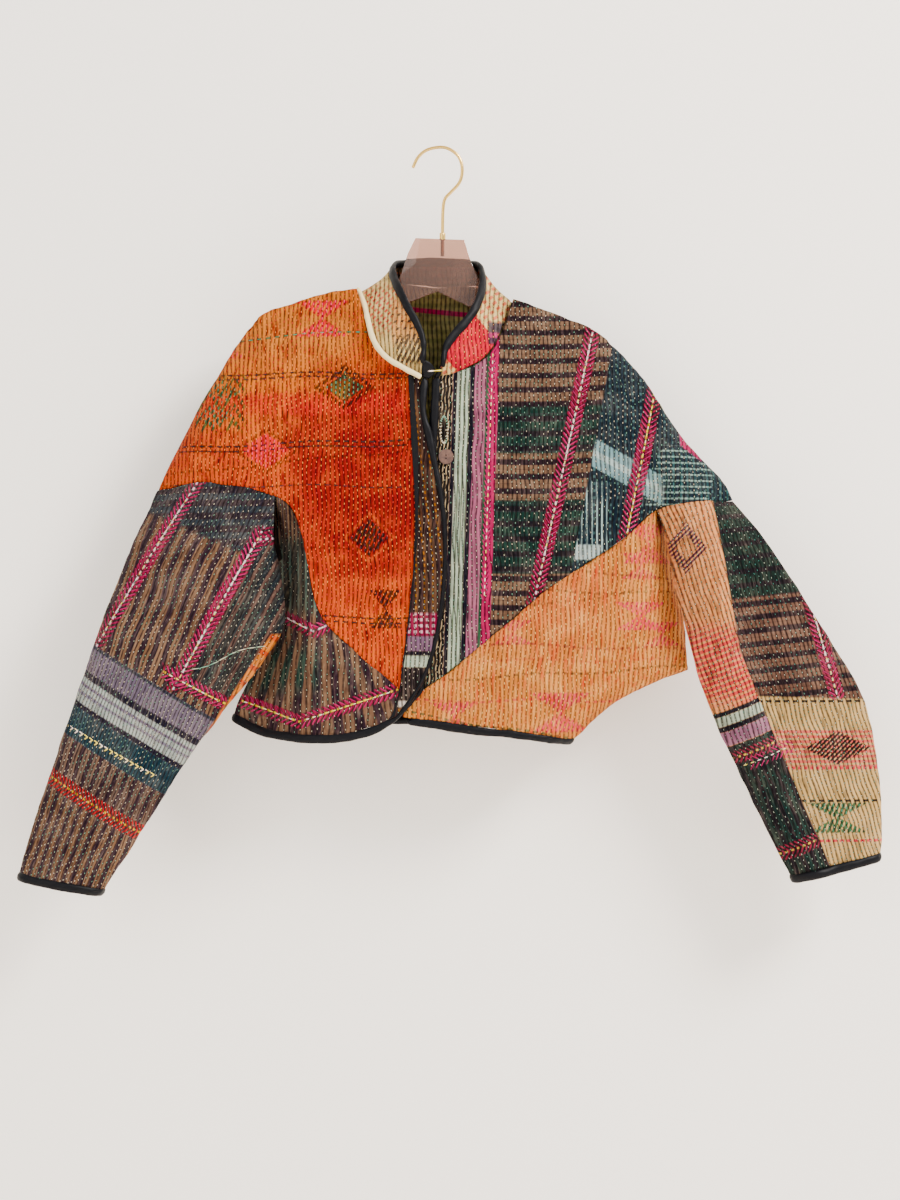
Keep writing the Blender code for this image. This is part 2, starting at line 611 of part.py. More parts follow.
def make_jacket():
    right = front_grid(RIGHT_FRONT)
    left = front_grid(LEFT_FRONT)
    backs = []
    for stations, seams, necks in ((RIGHT_FRONT, RIGHT_BACK_SEAM, BACK_NECK[:2]),
                                   (LEFT_FRONT, LEFT_BACK_SEAM, BACK_NECK[:2:-1])):
        lines = []
        for k, seam in enumerate(seams):
            neck = necks[k - NECK_STATION - 1] if k > NECK_STATION else None
            neck = neck and (neck[0], neck[2], neck[1])
            deep, middle = (3, 9) if k == 0 else (BACK_DEPTH, BACK_MID_DEPTH)
            lines.append(back_line(stations[k], seam, deep, middle, neck))
        centre_neck = (BACK_NECK[2][0], BACK_NECK[2][2], BACK_NECK[2][1])
        lines.append(back_line(None, BACK_SEAM_CENTRE, BACK_DEPTH, BACK_MID_DEPTH, centre_neck))
        grid = across(lines)
        turn_at_neck(grid, lines)
        backs.append(grid)
    right_back, left_back = backs
    first = SIDE_STATION * COLUMNS_PER_STATION
    right_side, right_low, _ = lower_grid(right, right_back, RIGHT_FRONT, RIGHT_LOWER, reverse=False)
    left_side, _, _ = lower_grid(left, left_back, LEFT_FRONT, LEFT_LOWER, reverse=True)
    tape_line = np.concatenate([right[-1], right_low[-1][1:]])
    edge_line = resampled([(x, y, z) for x, z, y in BAND_EDGE], np.linspace(0, 1, len(tape_line)))
    band = through(np.array([tape_line, edge_line]).reshape(2, -1), COLUMNS_PER_STATION)
    band = band.reshape(-1, len(tape_line), 3)
    neck = NECK_STATION * COLUMNS_PER_STATION
    base = np.concatenate([band[::-1, 0], right[neck:-1, 0][::-1], right_back[neck + 1:, 0],
                           left_back[neck:-1, 0][::-1], left[neck + 1:, 0]])
    top = through([(x, y, z) for x, z, y in COLLAR_TOP], COLUMNS_PER_STATION)
    panels = {
        "right_front": Panel("right_front", right, "saffron", flip=True),
        "right_front_band": Panel("right_front_band", band, "stripe", flip=True, quilted=False),
        "left_front": Panel("left_front", left, "stripe"),
        "back": Panel("back", np.concatenate([right_back, left_back[:-1][::-1]]), "stripe"),
        "right_side_panel": Panel("right_side_panel", right_side, "stripe"),
        "left_side_panel": Panel("left_side_panel", left_side, "saffron"),
        "collar": Panel("collar", collar_grid(base, top), "cream", flip=True, quilted=False),
    }
    for name, front, back, low, rings, flip in (
            ("right_sleeve", right, right_back, right_side, RIGHT_SLEEVE, True),
            ("left_sleeve", left, left_back, left_side, LEFT_SLEEVE, False)):
        side_top = side_columns(front[first, -1], back[first, -1])
        grid = sleeve_grid(front, back, side_top, rings)
        panels[name] = Panel(name, grid, "stripe", closed=True, flip=flip)
    share_seam_normals(list(panels.values()))
    cut = [panel for panel in panels.values() if not panel.closed]
    for name, outwards in (("right_sleeve", -1), ("left_sleeve", 1)):
        under_arm = under_arm_columns(panels[name], outwards)
        panels[name].grid[under_arm, 0, 0] += outwards * SEAM_GAP / MM
        cut += sleeve_halves(panels[name], outwards)
    collar = panels["collar"].grid
    collar[:, 0] += 0.11 * (collar[:, 1] - collar[:, 0])
    for panel in cut:
        wall(panel)
    return panels


def make_trims(panels):
    collar, band = panels["collar"], panels["right_front_band"]
    bound_edge("collar_binding", collar.grid[:, -1], collar.grid[:, -2], collar.normals[:, -1])
    low = panels["right_side_panel"]
    edge = np.concatenate([band.grid[0], band.grid[1:2, -1], low.grid[:, -1]])
    inner = np.concatenate([band.grid[1], band.grid[2:3, -2], low.grid[:, -2]])
    normals = np.concatenate([band.normals[0], band.normals[1:2, -1], low.normals[:, -1]])
    bound_edge("right_front_binding", edge, inner, normals, skip=(0, 1))
    front, low = panels["left_front"], panels["left_side_panel"]
    edge = np.concatenate([front.grid[-1], low.grid[-1][1:]])
    inner = np.concatenate([front.grid[-2], low.grid[-2][1:]])
    normals = np.concatenate([front.normals[-1], low.normals[-1][1:]])
    bound_edge("left_front_binding", edge, inner, normals, skip=(0, 1))
    bound_edge("left_hem_binding", low.grid[:, -1], low.grid[:, -2], low.normals[:, -1], skip=(1, 1))
    for name in ("right_sleeve", "left_sleeve"):
        p = panels[name]
        bound_edge(name.replace("sleeve", "cuff_binding"), p.grid[:, -1], p.grid[:, -2], p.normals[:, -1],
                   closed=True)
    path = collar.grid[-PIPING_COLUMNS:, 0] + collar.normals[-PIPING_COLUMNS:, 0] * (1.4 * PIPING_RADIUS + 2.0)
    tube("collar_piping", path, PIPING_RADIUS, "cream", resolution=1)
    strip("front_tape", band.grid[-1], band.grid[-2] - band.grid[-1], band.normals[-1], TAPE_WIDTH / 2,
          QUILT_RISE / MM + 0.5, TAPE_THICKNESS, "black")


clear_scene()
PARTS = bpy.data.collections.new("quilted_jacket")
CUTTERS = bpy.data.collections.new("cutters")
for group in (PARTS, CUTTERS):
    bpy.context.scene.collection.children.link(group)
made_panels = make_jacket()
make_trims(made_panels)
hanger(RIGHT_FRONT, LEFT_FRONT)
button(made_panels["left_front"])
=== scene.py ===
# %% [markdown]
# # A patchwork jacket on its hanger
#
# The jacket is cut from old quilts. Its solids come from a frame that is already built, so this lesson
# makes what the frame leaves out: the thickness of quilted cloth, its rows of running stitch, the
# embroidered bands and the finish of every piece.
#
# Lengths are in metres. The cloth's patterns are laid out in picture units, 1.1 mm each, counted to the
# right and down from a corner above the hanger, because a pattern is easiest to place from the front.

# %% Load the frame
import math

import bmesh
import bpy
import numpy as np
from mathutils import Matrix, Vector
from mathutils.bvhtree import BVHTree


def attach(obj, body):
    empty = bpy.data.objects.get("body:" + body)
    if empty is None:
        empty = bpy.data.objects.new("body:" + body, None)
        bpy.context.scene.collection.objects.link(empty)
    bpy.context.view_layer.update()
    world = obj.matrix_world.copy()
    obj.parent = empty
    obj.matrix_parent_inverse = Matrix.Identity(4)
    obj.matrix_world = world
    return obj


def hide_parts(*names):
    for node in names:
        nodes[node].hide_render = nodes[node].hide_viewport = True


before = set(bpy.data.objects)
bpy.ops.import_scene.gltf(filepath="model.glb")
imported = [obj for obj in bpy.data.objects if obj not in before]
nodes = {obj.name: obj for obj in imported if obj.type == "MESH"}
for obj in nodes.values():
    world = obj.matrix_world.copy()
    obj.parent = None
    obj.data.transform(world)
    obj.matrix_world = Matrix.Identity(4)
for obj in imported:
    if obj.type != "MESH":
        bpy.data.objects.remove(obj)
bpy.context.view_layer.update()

UNIT = 0.0011
CENTRE, TOP = 437, 145


def place(across, down):
    """The x and z of a point given in picture units."""
    return (across - CENTRE) * UNIT, (TOP - down) * UNIT


# %% [markdown]
# ## Camera, light and backdrop
#
# The jacket was seen from straight in front, a few metres away, in soft daylight that comes from a window
# high on the right. One large area light gives that direction, and a weaker one fills the shadows.

# %% Camera and backdrop
DISTANCE = 3.2
PICTURE_WIDTH, PICTURE_HEIGHT, FILM = 900, 1200, 36
middle_x, middle_z = place(PICTURE_WIDTH / 2, PICTURE_HEIGHT / 2)
camera = bpy.data.objects.new("camera", bpy.data.cameras.new("camera"))
bpy.context.scene.collection.objects.link(camera)
camera.location = (middle_x, -DISTANCE - 0.03, middle_z)
camera.rotation_euler = (math.pi / 2, 0, 0)
camera.data.lens = FILM * DISTANCE / (PICTURE_HEIGHT * UNIT)
camera.data.sensor_width = FILM
bpy.context.scene.camera = camera

BACKDROP_Y, FLOOR_Z, BEND, BEND_STEPS = 0.085, -1.42, 0.25, 8
LEFT_EDGE, WIDTH, UPPER_EDGE, NEAR_EDGE = -4, 8, 1.8, -6
bm = bmesh.new()
profile = [bm.verts.new((LEFT_EDGE, BACKDROP_Y, z)) for z in (UPPER_EDGE, FLOOR_Z + BEND)]
for step in range(1, BEND_STEPS + 1):
    turn = step / BEND_STEPS * math.pi / 2
    profile.append(bm.verts.new((LEFT_EDGE, BACKDROP_Y - BEND * (1 - math.cos(turn)),
                                 FLOOR_Z + BEND * (1 - math.sin(turn)))))
profile.append(bm.verts.new((LEFT_EDGE, NEAR_EDGE, FLOOR_Z)))
edges = [bm.edges.new(pair) for pair in zip(profile, profile[1:])]
swept = bmesh.ops.extrude_edge_only(bm, edges=edges)["geom"]
bmesh.ops.translate(bm, verts=[v for v in swept if isinstance(v, bmesh.types.BMVert)], vec=(WIDTH, 0, 0))
bmesh.ops.recalc_face_normals(bm, faces=bm.faces)
mesh = bpy.data.meshes.new("backdrop")
bm.to_mesh(mesh)
bm.free()
mesh.shade_smooth()
backdrop = bpy.data.objects.new("backdrop", mesh)
bpy.context.scene.collection.objects.link(backdrop)


def area_light(name, place_at, look_at, size, power, colour):
    """A square soft light that faces a point."""
    data = bpy.data.lights.new(name, "AREA")
    data.size, data.energy, data.color = size, power, colour
    lamp = bpy.data.objects.new(name, data)
    lamp.location = place_at
    lamp.rotation_euler = (Vector(look_at) - Vector(place_at)).to_track_quat("-Z", "Y").to_euler()
    bpy.context.scene.collection.objects.link(lamp)


area_light("window", (2.2, -2.0, 1.7), (0, 0, -0.45), 1.2, 250, (1.0, 0.975, 0.94))
area_light("fill", (-2.2, -3.4, 0.4), (0, 0, -0.5), 3.0, 60, (1.0, 0.98, 0.96))
world = bpy.data.worlds.new("room")
world.use_nodes = True
world.node_tree.nodes["Background"].inputs["Color"].default_value = (1.0, 0.985, 0.96, 1)
world.node_tree.nodes["Background"].inputs["Strength"].default_value = 1.3
bpy.context.scene.world = world
print("camera and lights are placed")

# %% [markdown]
# ## Shader maths as plain expressions
#
# A pattern of stripes is a sum of simple masks: 1 inside a stripe and 0 outside. `Signal` wraps a socket of
# a node tree, so that a mask can be written as arithmetic, and each operator adds one Math node.


# %% Signals
class Signal:
    """One output in a node tree, with which one can reckon."""

    def __init__(self, maker, socket):
        self.maker, self.socket = maker, socket

    def math(self, operation, *others):
        inputs = [self, *others]
        return self.maker.add("ShaderNodeMath", {"operation": operation}, dict(enumerate(inputs)))

    def __add__(self, other):
        return self.math("ADD", other)

    def __sub__(self, other):
        return self.math("SUBTRACT", other)

    def __mul__(self, other):
        return self.math("MULTIPLY", other)

    def __truediv__(self, other):
        return self.math("DIVIDE", other)

    def __rsub__(self, other):
        return self * -1 + other

    __radd__, __rmul__ = __add__, __mul__

    def floor(self):
        return self.math("FLOOR")

    def fract(self):
        return self.math("FRACT")

    def sine(self):
        return self.math("SINE")

    def size(self):
        return self.math("ABSOLUTE")

    def root(self):
        return self.math("SQRT")

    def lower(self, other):
        return self.math("MINIMUM", other)

    def higher(self, other):
        return self.math("MAXIMUM", other)

    def under(self, limit, soft=1.0):
        """1 where the value is under a limit, 0 above it, with a soft step between."""
        return self.maker.add("ShaderNodeMapRange", {"clamp": True},
                              {0: self, 1: limit - soft / 2, 2: limit + soft / 2, 3: 1, 4: 0})

    def within(self, low, high, soft=1.0):
        """1 between two limits."""
        middle, half = (low + high) / 2, (high - low) / 2
        return (self - middle).size().under(half, soft)


print("a mask is written as arithmetic on signals")

# %% [markdown]
# ## One material at a time
#
# A material is a tree of nodes that ends in the Principled shader. Nodes could be placed by hand in the
# editor, but a patchwork needs hundreds, so `Maker` adds any node in one call and links what is a signal.


# %% Maker
class Maker:
    """Adds nodes to one material."""

    def __init__(self, name):
        self.material = bpy.data.materials.new(name)
        self.material.use_nodes = True
        self.tree = self.material.node_tree
        self.shader = self.tree.nodes["Principled BSDF"]

    def add(self, kind, settings=None, inputs=None, output=0):
        node = self.tree.nodes.new(kind)
        for key, value in (settings or {}).items():
            setattr(node, key, value)
        for key, value in (inputs or {}).items():
            if isinstance(value, Signal):
                self.tree.links.new(value.socket, node.inputs[key])
            else:
                node.inputs[key].default_value = value
        return Signal(self, node.outputs[output])

    def position(self):
        """Across and down in picture units, and depth in units, from the piece's own coordinates."""
        own = self.add("ShaderNodeTexCoord", output=3)
        split = self.tree.nodes.new("ShaderNodeSeparateXYZ")
        self.tree.links.new(own.socket, split.inputs[0])
        x, y, z = (Signal(self, socket) for socket in split.outputs)
        return x * (1 / UNIT) + CENTRE, TOP - z * (1 / UNIT), y * (1 / UNIT)

    def noise(self, scale, detail=2.0, vector=None):
        own = vector or self.add("ShaderNodeTexCoord", output=3)
        return self.add("ShaderNodeTexNoise", {}, {"Vector": own, "Scale": scale, "Detail": detail})

    def vector(self, x, y, z=0.0):
        return self.add("ShaderNodeCombineXYZ", {}, {0: x, 1: y, 2: z})

    def mix(self, share, under, over, blend="MIX"):
        return self.add("ShaderNodeMix", {"data_type": "RGBA", "blend_type": blend},
                        {0: share, 6: under, 7: over}, output=2)

    def set(self, **values):
        """Constants go on the shader's own sockets, signals are linked to them."""
        for key, value in values.items():
            socket = self.shader.inputs[key.replace("_", " ")]
            if isinstance(value, Signal):
                self.tree.links.new(value.socket, socket)
            else:
                socket.default_value = value

    def bump(self, height, distance, strength=1.0):
        node = self.tree.nodes.new("ShaderNodeBump")
        node.inputs["Distance"].default_value = distance
        node.inputs["Strength"].default_value = strength
        self.tree.links.new(height.socket, node.inputs["Height"])
        self.tree.links.new(node.outputs[0], self.shader.inputs["Normal"])


print("a maker adds a node in one call")

# %% [markdown]
# ## The backdrop's plaster
#
# The backdrop is matt and a little warm. It is solid only towards the camera: from behind it is clear, so
# that the jacket's back can be looked at too.


# %% Plaster
def rgb(red, green, blue):
    """A colour as it is mixed on a screen, from 0 to 255, as the linear colour that a shader takes."""
    def linear(value):
        return value / 255 / 12.92 if value <= 10 else ((value / 255 + 0.055) / 1.055) ** 2.4
    return (linear(red), linear(green), linear(blue), 1)


plaster = Maker("plaster")
plaster.set(Base_Color=rgb(250, 243, 234), Roughness=0.9)
plaster.set(Emission_Color=(1.0, 0.94, 0.88, 1), Emission_Strength=0.22)
behind = plaster.add("ShaderNodeNewGeometry", output=6)
clear, blend = (plaster.tree.nodes.new(kind) for kind in ("ShaderNodeBsdfTransparent", "ShaderNodeMixShader"))
for source, target in ((behind.socket, 0), (clear.outputs[0], 1), (plaster.shader.outputs[0], 2)):
    plaster.tree.links.new(source, blend.inputs[target])
plaster.tree.links.new(blend.outputs[0], plaster.tree.nodes["Material Output"].inputs[0])
backdrop.data.materials.append(plaster.material)
print("the backdrop is seen from the front and clear from behind")

# %% [markdown]
# ## Quilted cloth
#
# Each panel of the frame is a closed wall of cloth with few faces. A copy of it is joined up, rounded by a
# Subdivision Surface, and cut finer where its faces are long. Then its points are moved along their
# normals, so that the whole quilt is a little uneven, as hand work is. The rows of running stitch, which
# pull the layers together every few millimetres, and the dent of each stitch are left to the material's
# bump. The rows run down the body and along the sleeves, so each panel states the direction in which its
# rows run.

# %% Direction of the rows
ROW = 4.4
STITCH = 6.2
STAGGER = 0.618


class Rows:
    """Rows of stitches between two points in the picture: `along` them and `beside` them."""

    def __init__(self, top, foot, spread=0.0):
        (self.x, self.y), (x, y) = top, foot
        self.length = math.hypot(x - self.x, y - self.y)
        self.ax, self.ay = (x - self.x) / self.length, (y - self.y) / self.length
        self.spread = spread

    def at(self, across, down):
        """Works on numbers and on signals alike."""
        dx, dy = across - self.x, down - self.y
        along = dx * self.ax + dy * self.ay
        beside = dx * self.ay - dy * self.ax
        if self.spread:
            beside = beside / (1 - along * self.spread)
        return along, beside


DOWN = Rows((437, 250), (437, 750))
RIGHT_ARM = Rows((228, 487), (66, 885), 0.0008)
LEFT_ARM = Rows((722, 495), (842, 870), 0.0001)
LEFT_SIDE = Rows((600, 450), (585, 750))
RIGHT_SIDE = Rows((318, 480), (318, 740), -0.0012)
print("a row every", round(ROW * UNIT * 1000, 1), "mm")

# %% Uneven ground
# A face sinks no further than this, in metres, so that the two faces of the cloth never meet.
DEEPEST = 0.0009


def ripples(points, seed, size):
    """A smooth random height between -1 and 1 for each point, made of a few crossing waves."""
    random = np.random.default_rng(seed)
    height = np.zeros(len(points))
    for _ in range(9):
        direction = random.normal(size=3)
        direction /= np.linalg.norm(direction) * size * random.uniform(0.6, 1.7)
        height += np.sin(points @ direction * 2 * math.pi + random.uniform(0, 6.3))
    return height / 4


def sewn_at(points, rows):
    """Where each point lies along and beside the rows, which wander a little as hand work does."""
    along, beside = rows.at(points[:, 0] / UNIT + CENTRE, TOP - points[:, 2] / UNIT)
    return along, beside + 1.3 * ripples(points, 7, 0.06) + 0.4 * ripples(points, 8, 0.025)


def uneven_height(points, seed):
    """How far a face stands out, in metres: slow swells, and the pull of the stitching."""
    height = 0.0011 * ripples(points, seed, 0.055) + 0.00045 * ripples(points, seed + 50, 0.016)
    return np.maximum(height, -DEEPEST)


print("a face sinks at most", DEEPEST * 1000, "mm")

# %% Panels made fine
def copied(node, rim=None):
    """A bmesh of a node's solid, its triangles paired, its edges kept where they turn more than `rim`."""
    bm = bmesh.new()
    bm.from_mesh(nodes[node].data)
    bmesh.ops.remove_doubles(bm, verts=bm.verts, dist=0.00001)
    bmesh.ops.join_triangles(bm, faces=bm.faces, angle_face_threshold=0.7, angle_shape_threshold=1.2)
    if rim:
        crease = bm.edges.layers.float.get("crease_edge") or bm.edges.layers.float.new("crease_edge")
        for edge in bm.edges:
            if edge.calc_face_angle(0) > rim:
                edge[crease] = 1.0
    return bm


def rounded(name, bm, levels):
    """The bmesh as a new object, smoothed by a Subdivision Surface that is then applied."""
    rough = bpy.data.meshes.new(name + "_rough")
    bm.to_mesh(rough)
    bm.free()
    held = bpy.data.objects.new(name + "_rough", rough)
    bpy.context.scene.collection.objects.link(held)
    smooth = held.modifiers.new("round", "SUBSURF")
    smooth.levels = smooth.render_levels = levels
    depsgraph = bpy.context.evaluated_depsgraph_get()
    mesh = bpy.data.meshes.new_from_object(held.evaluated_get(depsgraph))
    mesh.name = name
    bpy.data.objects.remove(held)
    return mesh


def finer(mesh, longest):
    """Cuts each edge that is longer than a limit, until none is."""
    bm = bmesh.new()
    bm.from_mesh(mesh)
    for _ in range(4):
        long_edges = [e for e in bm.edges if e.calc_length() > longest]
        if not long_edges:
            break
        bmesh.ops.subdivide_edges(bm, edges=long_edges, cuts=1, use_grid_fill=True)
    bmesh.ops.triangulate(bm, faces=[f for f in bm.faces if len(f.verts) > 4])
    bm.to_mesh(mesh)
    bm.free()


print("a panel is copied, rounded and cut finer")


# %% Finished pieces
def finish_piece(name, mesh, node, slot, material, *more_nodes):
    """A finished object that rides with the jacket and stands for its node."""
    mesh.shade_smooth()
    mesh.materials.clear()
    mesh.materials.append(material)
    piece = bpy.data.objects.new(name, mesh)
    bpy.context.scene.collection.objects.link(piece)
    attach(piece, "root")
    if node:
        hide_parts(node, *more_nodes)
    return piece


def outward(points, core):
    """The direction away from the inside of the jacket, from the nearest place on a level line within it."""
    first, last, depth = core
    away = np.zeros(points.shape)
    away[:, 0] = points[:, 0] - np.clip(points[:, 0], first, last)
    away[:, 1] = points[:, 1] - depth
    return away / np.maximum(np.linalg.norm(away, axis=1, keepdims=True), 1e-9)


def mesh_arrays(mesh):
    """The points and normals of a mesh."""
    points, normals = np.empty(len(mesh.vertices) * 3), np.empty(len(mesh.vertices) * 3)
    mesh.vertices.foreach_get("co", points)
    mesh.vertex_normals.foreach_get("vector", normals)
    return points.reshape(-1, 3), normals.reshape(-1, 3)


print("a finished piece rides with the jacket")

# %% [markdown]
# ## Running stitch
#
# The rows are a grid in the cloth's own two numbers, along and beside. Every triangle of the outer face
# that holds a crossing of that grid gets one stitch: a short spindle of thread whose ends sink into the
# cloth. Its place and direction come from the triangle, so it lies flat however the cloth turns.

# %% Stitches
SPINDLE = np.array([(-1.0, 0.0, -0.5), (-0.55, -1.0, 0.2), (-0.55, 0.0, 1.0), (-0.55, 1.0, 0.2),
                    (0.55, -1.0, 0.2), (0.55, 0.0, 1.0), (0.55, 1.0, 0.2), (1.0, 0.0, -0.5)])
SPINDLE_FACES = np.array([(0, 1, 2), (0, 2, 3), (1, 4, 5), (1, 5, 2),
                          (2, 5, 6), (2, 6, 3), (4, 7, 5), (5, 7, 6)])


def threads(name, places, runs, normals, half_width, height):
    """One mesh of many spindles. `runs` are half the length of each stitch, as a direction."""
    sides = np.cross(normals, runs)
    sides *= half_width / np.maximum(np.linalg.norm(sides, axis=1, keepdims=True), 1e-9)
    along, across, above = (SPINDLE[None, :, k, None] for k in range(3))
    verts = places[:, None] + along * runs[:, None] + across * sides[:, None]
    verts = (verts + above * normals[:, None] * height).reshape(-1, 3)
    faces = (SPINDLE_FACES[None] + 8 * np.arange(len(places))[:, None, None]).reshape(-1, 3)
    mesh = bpy.data.meshes.new(name)
    mesh.vertices.add(len(verts))
    mesh.vertices.foreach_set("co", verts.ravel())
    mesh.loops.add(faces.size)
    mesh.loops.foreach_set("vertex_index", faces.ravel())
    mesh.polygons.add(len(faces))
    mesh.polygons.foreach_set("loop_start", np.arange(0, faces.size, 3))
    mesh.update(calc_edges=True)
    return mesh


def running_stitch(name, mesh, along, beside, core, share, seed, length):
    """Stitches on the outer face, one at each crossing of a row with a whole stitch length along it."""
    mesh.calc_loop_triangles()
    corners = np.empty(len(mesh.loop_triangles) * 3, dtype=np.int32)
    mesh.loop_triangles.foreach_get("vertices", corners)
    corners = corners.reshape(-1, 3)
    points, normals = mesh_arrays(mesh)
    middle = points[corners].mean(axis=1)
    faced = normals[corners].mean(axis=1)
    corners = corners[(faced * outward(middle, core)).sum(axis=1) > 0.03]
    row, step = beside[corners] / ROW, along[corners] / STITCH
    a, b, c = points[corners[:, 0]], points[corners[:, 1]], points[corners[:, 2]]
    e1, e2 = row[:, 1] - row[:, 0], row[:, 2] - row[:, 0]
    f1, f2 = step[:, 1] - step[:, 0], step[:, 2] - step[:, 0]
    area = e1 * f2 - e2 * f1
    good = np.abs(area) > 1e-6
    area = np.where(good, area, 1.0)
    run = ((b - a) * -e2[:, None] + (c - a) * e1[:, None]) / area[:, None]
    found = []
    for across in range(3):
        number = np.ceil(row.min(axis=1)) + across
        first = np.ceil(step.min(axis=1) - number * STAGGER)
        for down in range(3):
            place = first + down + number * STAGGER
            dr, ds = number - row[:, 0], place - step[:, 0]
            s, t = (dr * f2 - ds * e2) / area, (ds * e1 - dr * f1) / area
            inside = good & (s >= 0) & (t >= 0) & (s + t < 1)
            k = np.flatnonzero(inside)
            found.append((k, s[k], t[k]))
    k, s, t = (np.concatenate(parts) for parts in zip(*found))
    random = np.random.default_rng(seed)
    kept = random.random(len(k)) < share
    k, s, t = k[kept], s[kept, None], t[kept, None]
    places = a[k] * (1 - s - t) + b[k] * s + c[k] * t
    upright = normals[corners[k]].mean(axis=1)
    upright /= np.linalg.norm(upright, axis=1, keepdims=True)
    runs = run[k] / np.maximum(np.linalg.norm(run[k], axis=1, keepdims=True), 1e-9)
    runs *= length / 2 * random.uniform(0.8, 1.25, (len(k), 1))
    runs += np.cross(upright, runs) * random.normal(0, 0.10, (len(k), 1))
    return threads(name, places, runs, upright, length * 0.15, length * 0.16)


print("a stitch has", len(SPINDLE_FACES), "faces")

# %% [markdown]
# ## One quilted panel
#
# A panel is its cloth and its stitches together. The cloth keeps each point's place in the rows as an
# attribute, so that the painted rows, the dents and the threads all fall in the same places.

# %% One quilted panel
CLOTH, STITCHED = {}, {}


def quilt(node, slot, material, rows, seed, core, thread, share=0.8, length=0.0019, levels=2, longest=0.0062):
    """One quilted panel. Its points keep their place in the rows as an attribute that the material reads."""
    mesh = rounded("quilted_" + node, copied(node, rim=1.1), levels)
    finer(mesh, longest)
    points, normals = mesh_arrays(mesh)
    along, beside = sewn_at(points, rows)
    sewn = mesh.attributes.new("sewn", "FLOAT_VECTOR", "POINT")
    facing = (normals * outward(points, core)).sum(axis=1)
    sewn.data.foreach_set("vector", np.stack([along, beside, facing], axis=1).ravel())
    points += normals * uneven_height(points, seed)[:, None]
    mesh.vertices.foreach_set("co", points.ravel())
    mesh.update()
    piece = finish_piece("quilted_" + node, mesh, node, slot, material)
    stitches = running_stitch("stitches_" + node, mesh, along, beside, core, share, seed, length)
    CLOTH[node] = piece
    STITCHED[node] = [finish_piece("stitches_" + node, stitches, None, slot, thread)]
    area = sum(p.area for p in mesh.polygons) / 2
    print(piece.name, len(mesh.polygons), "faces,", len(stitches.vertices) // len(SPINDLE), "stitches,",
          round(area, 3), "square metres")
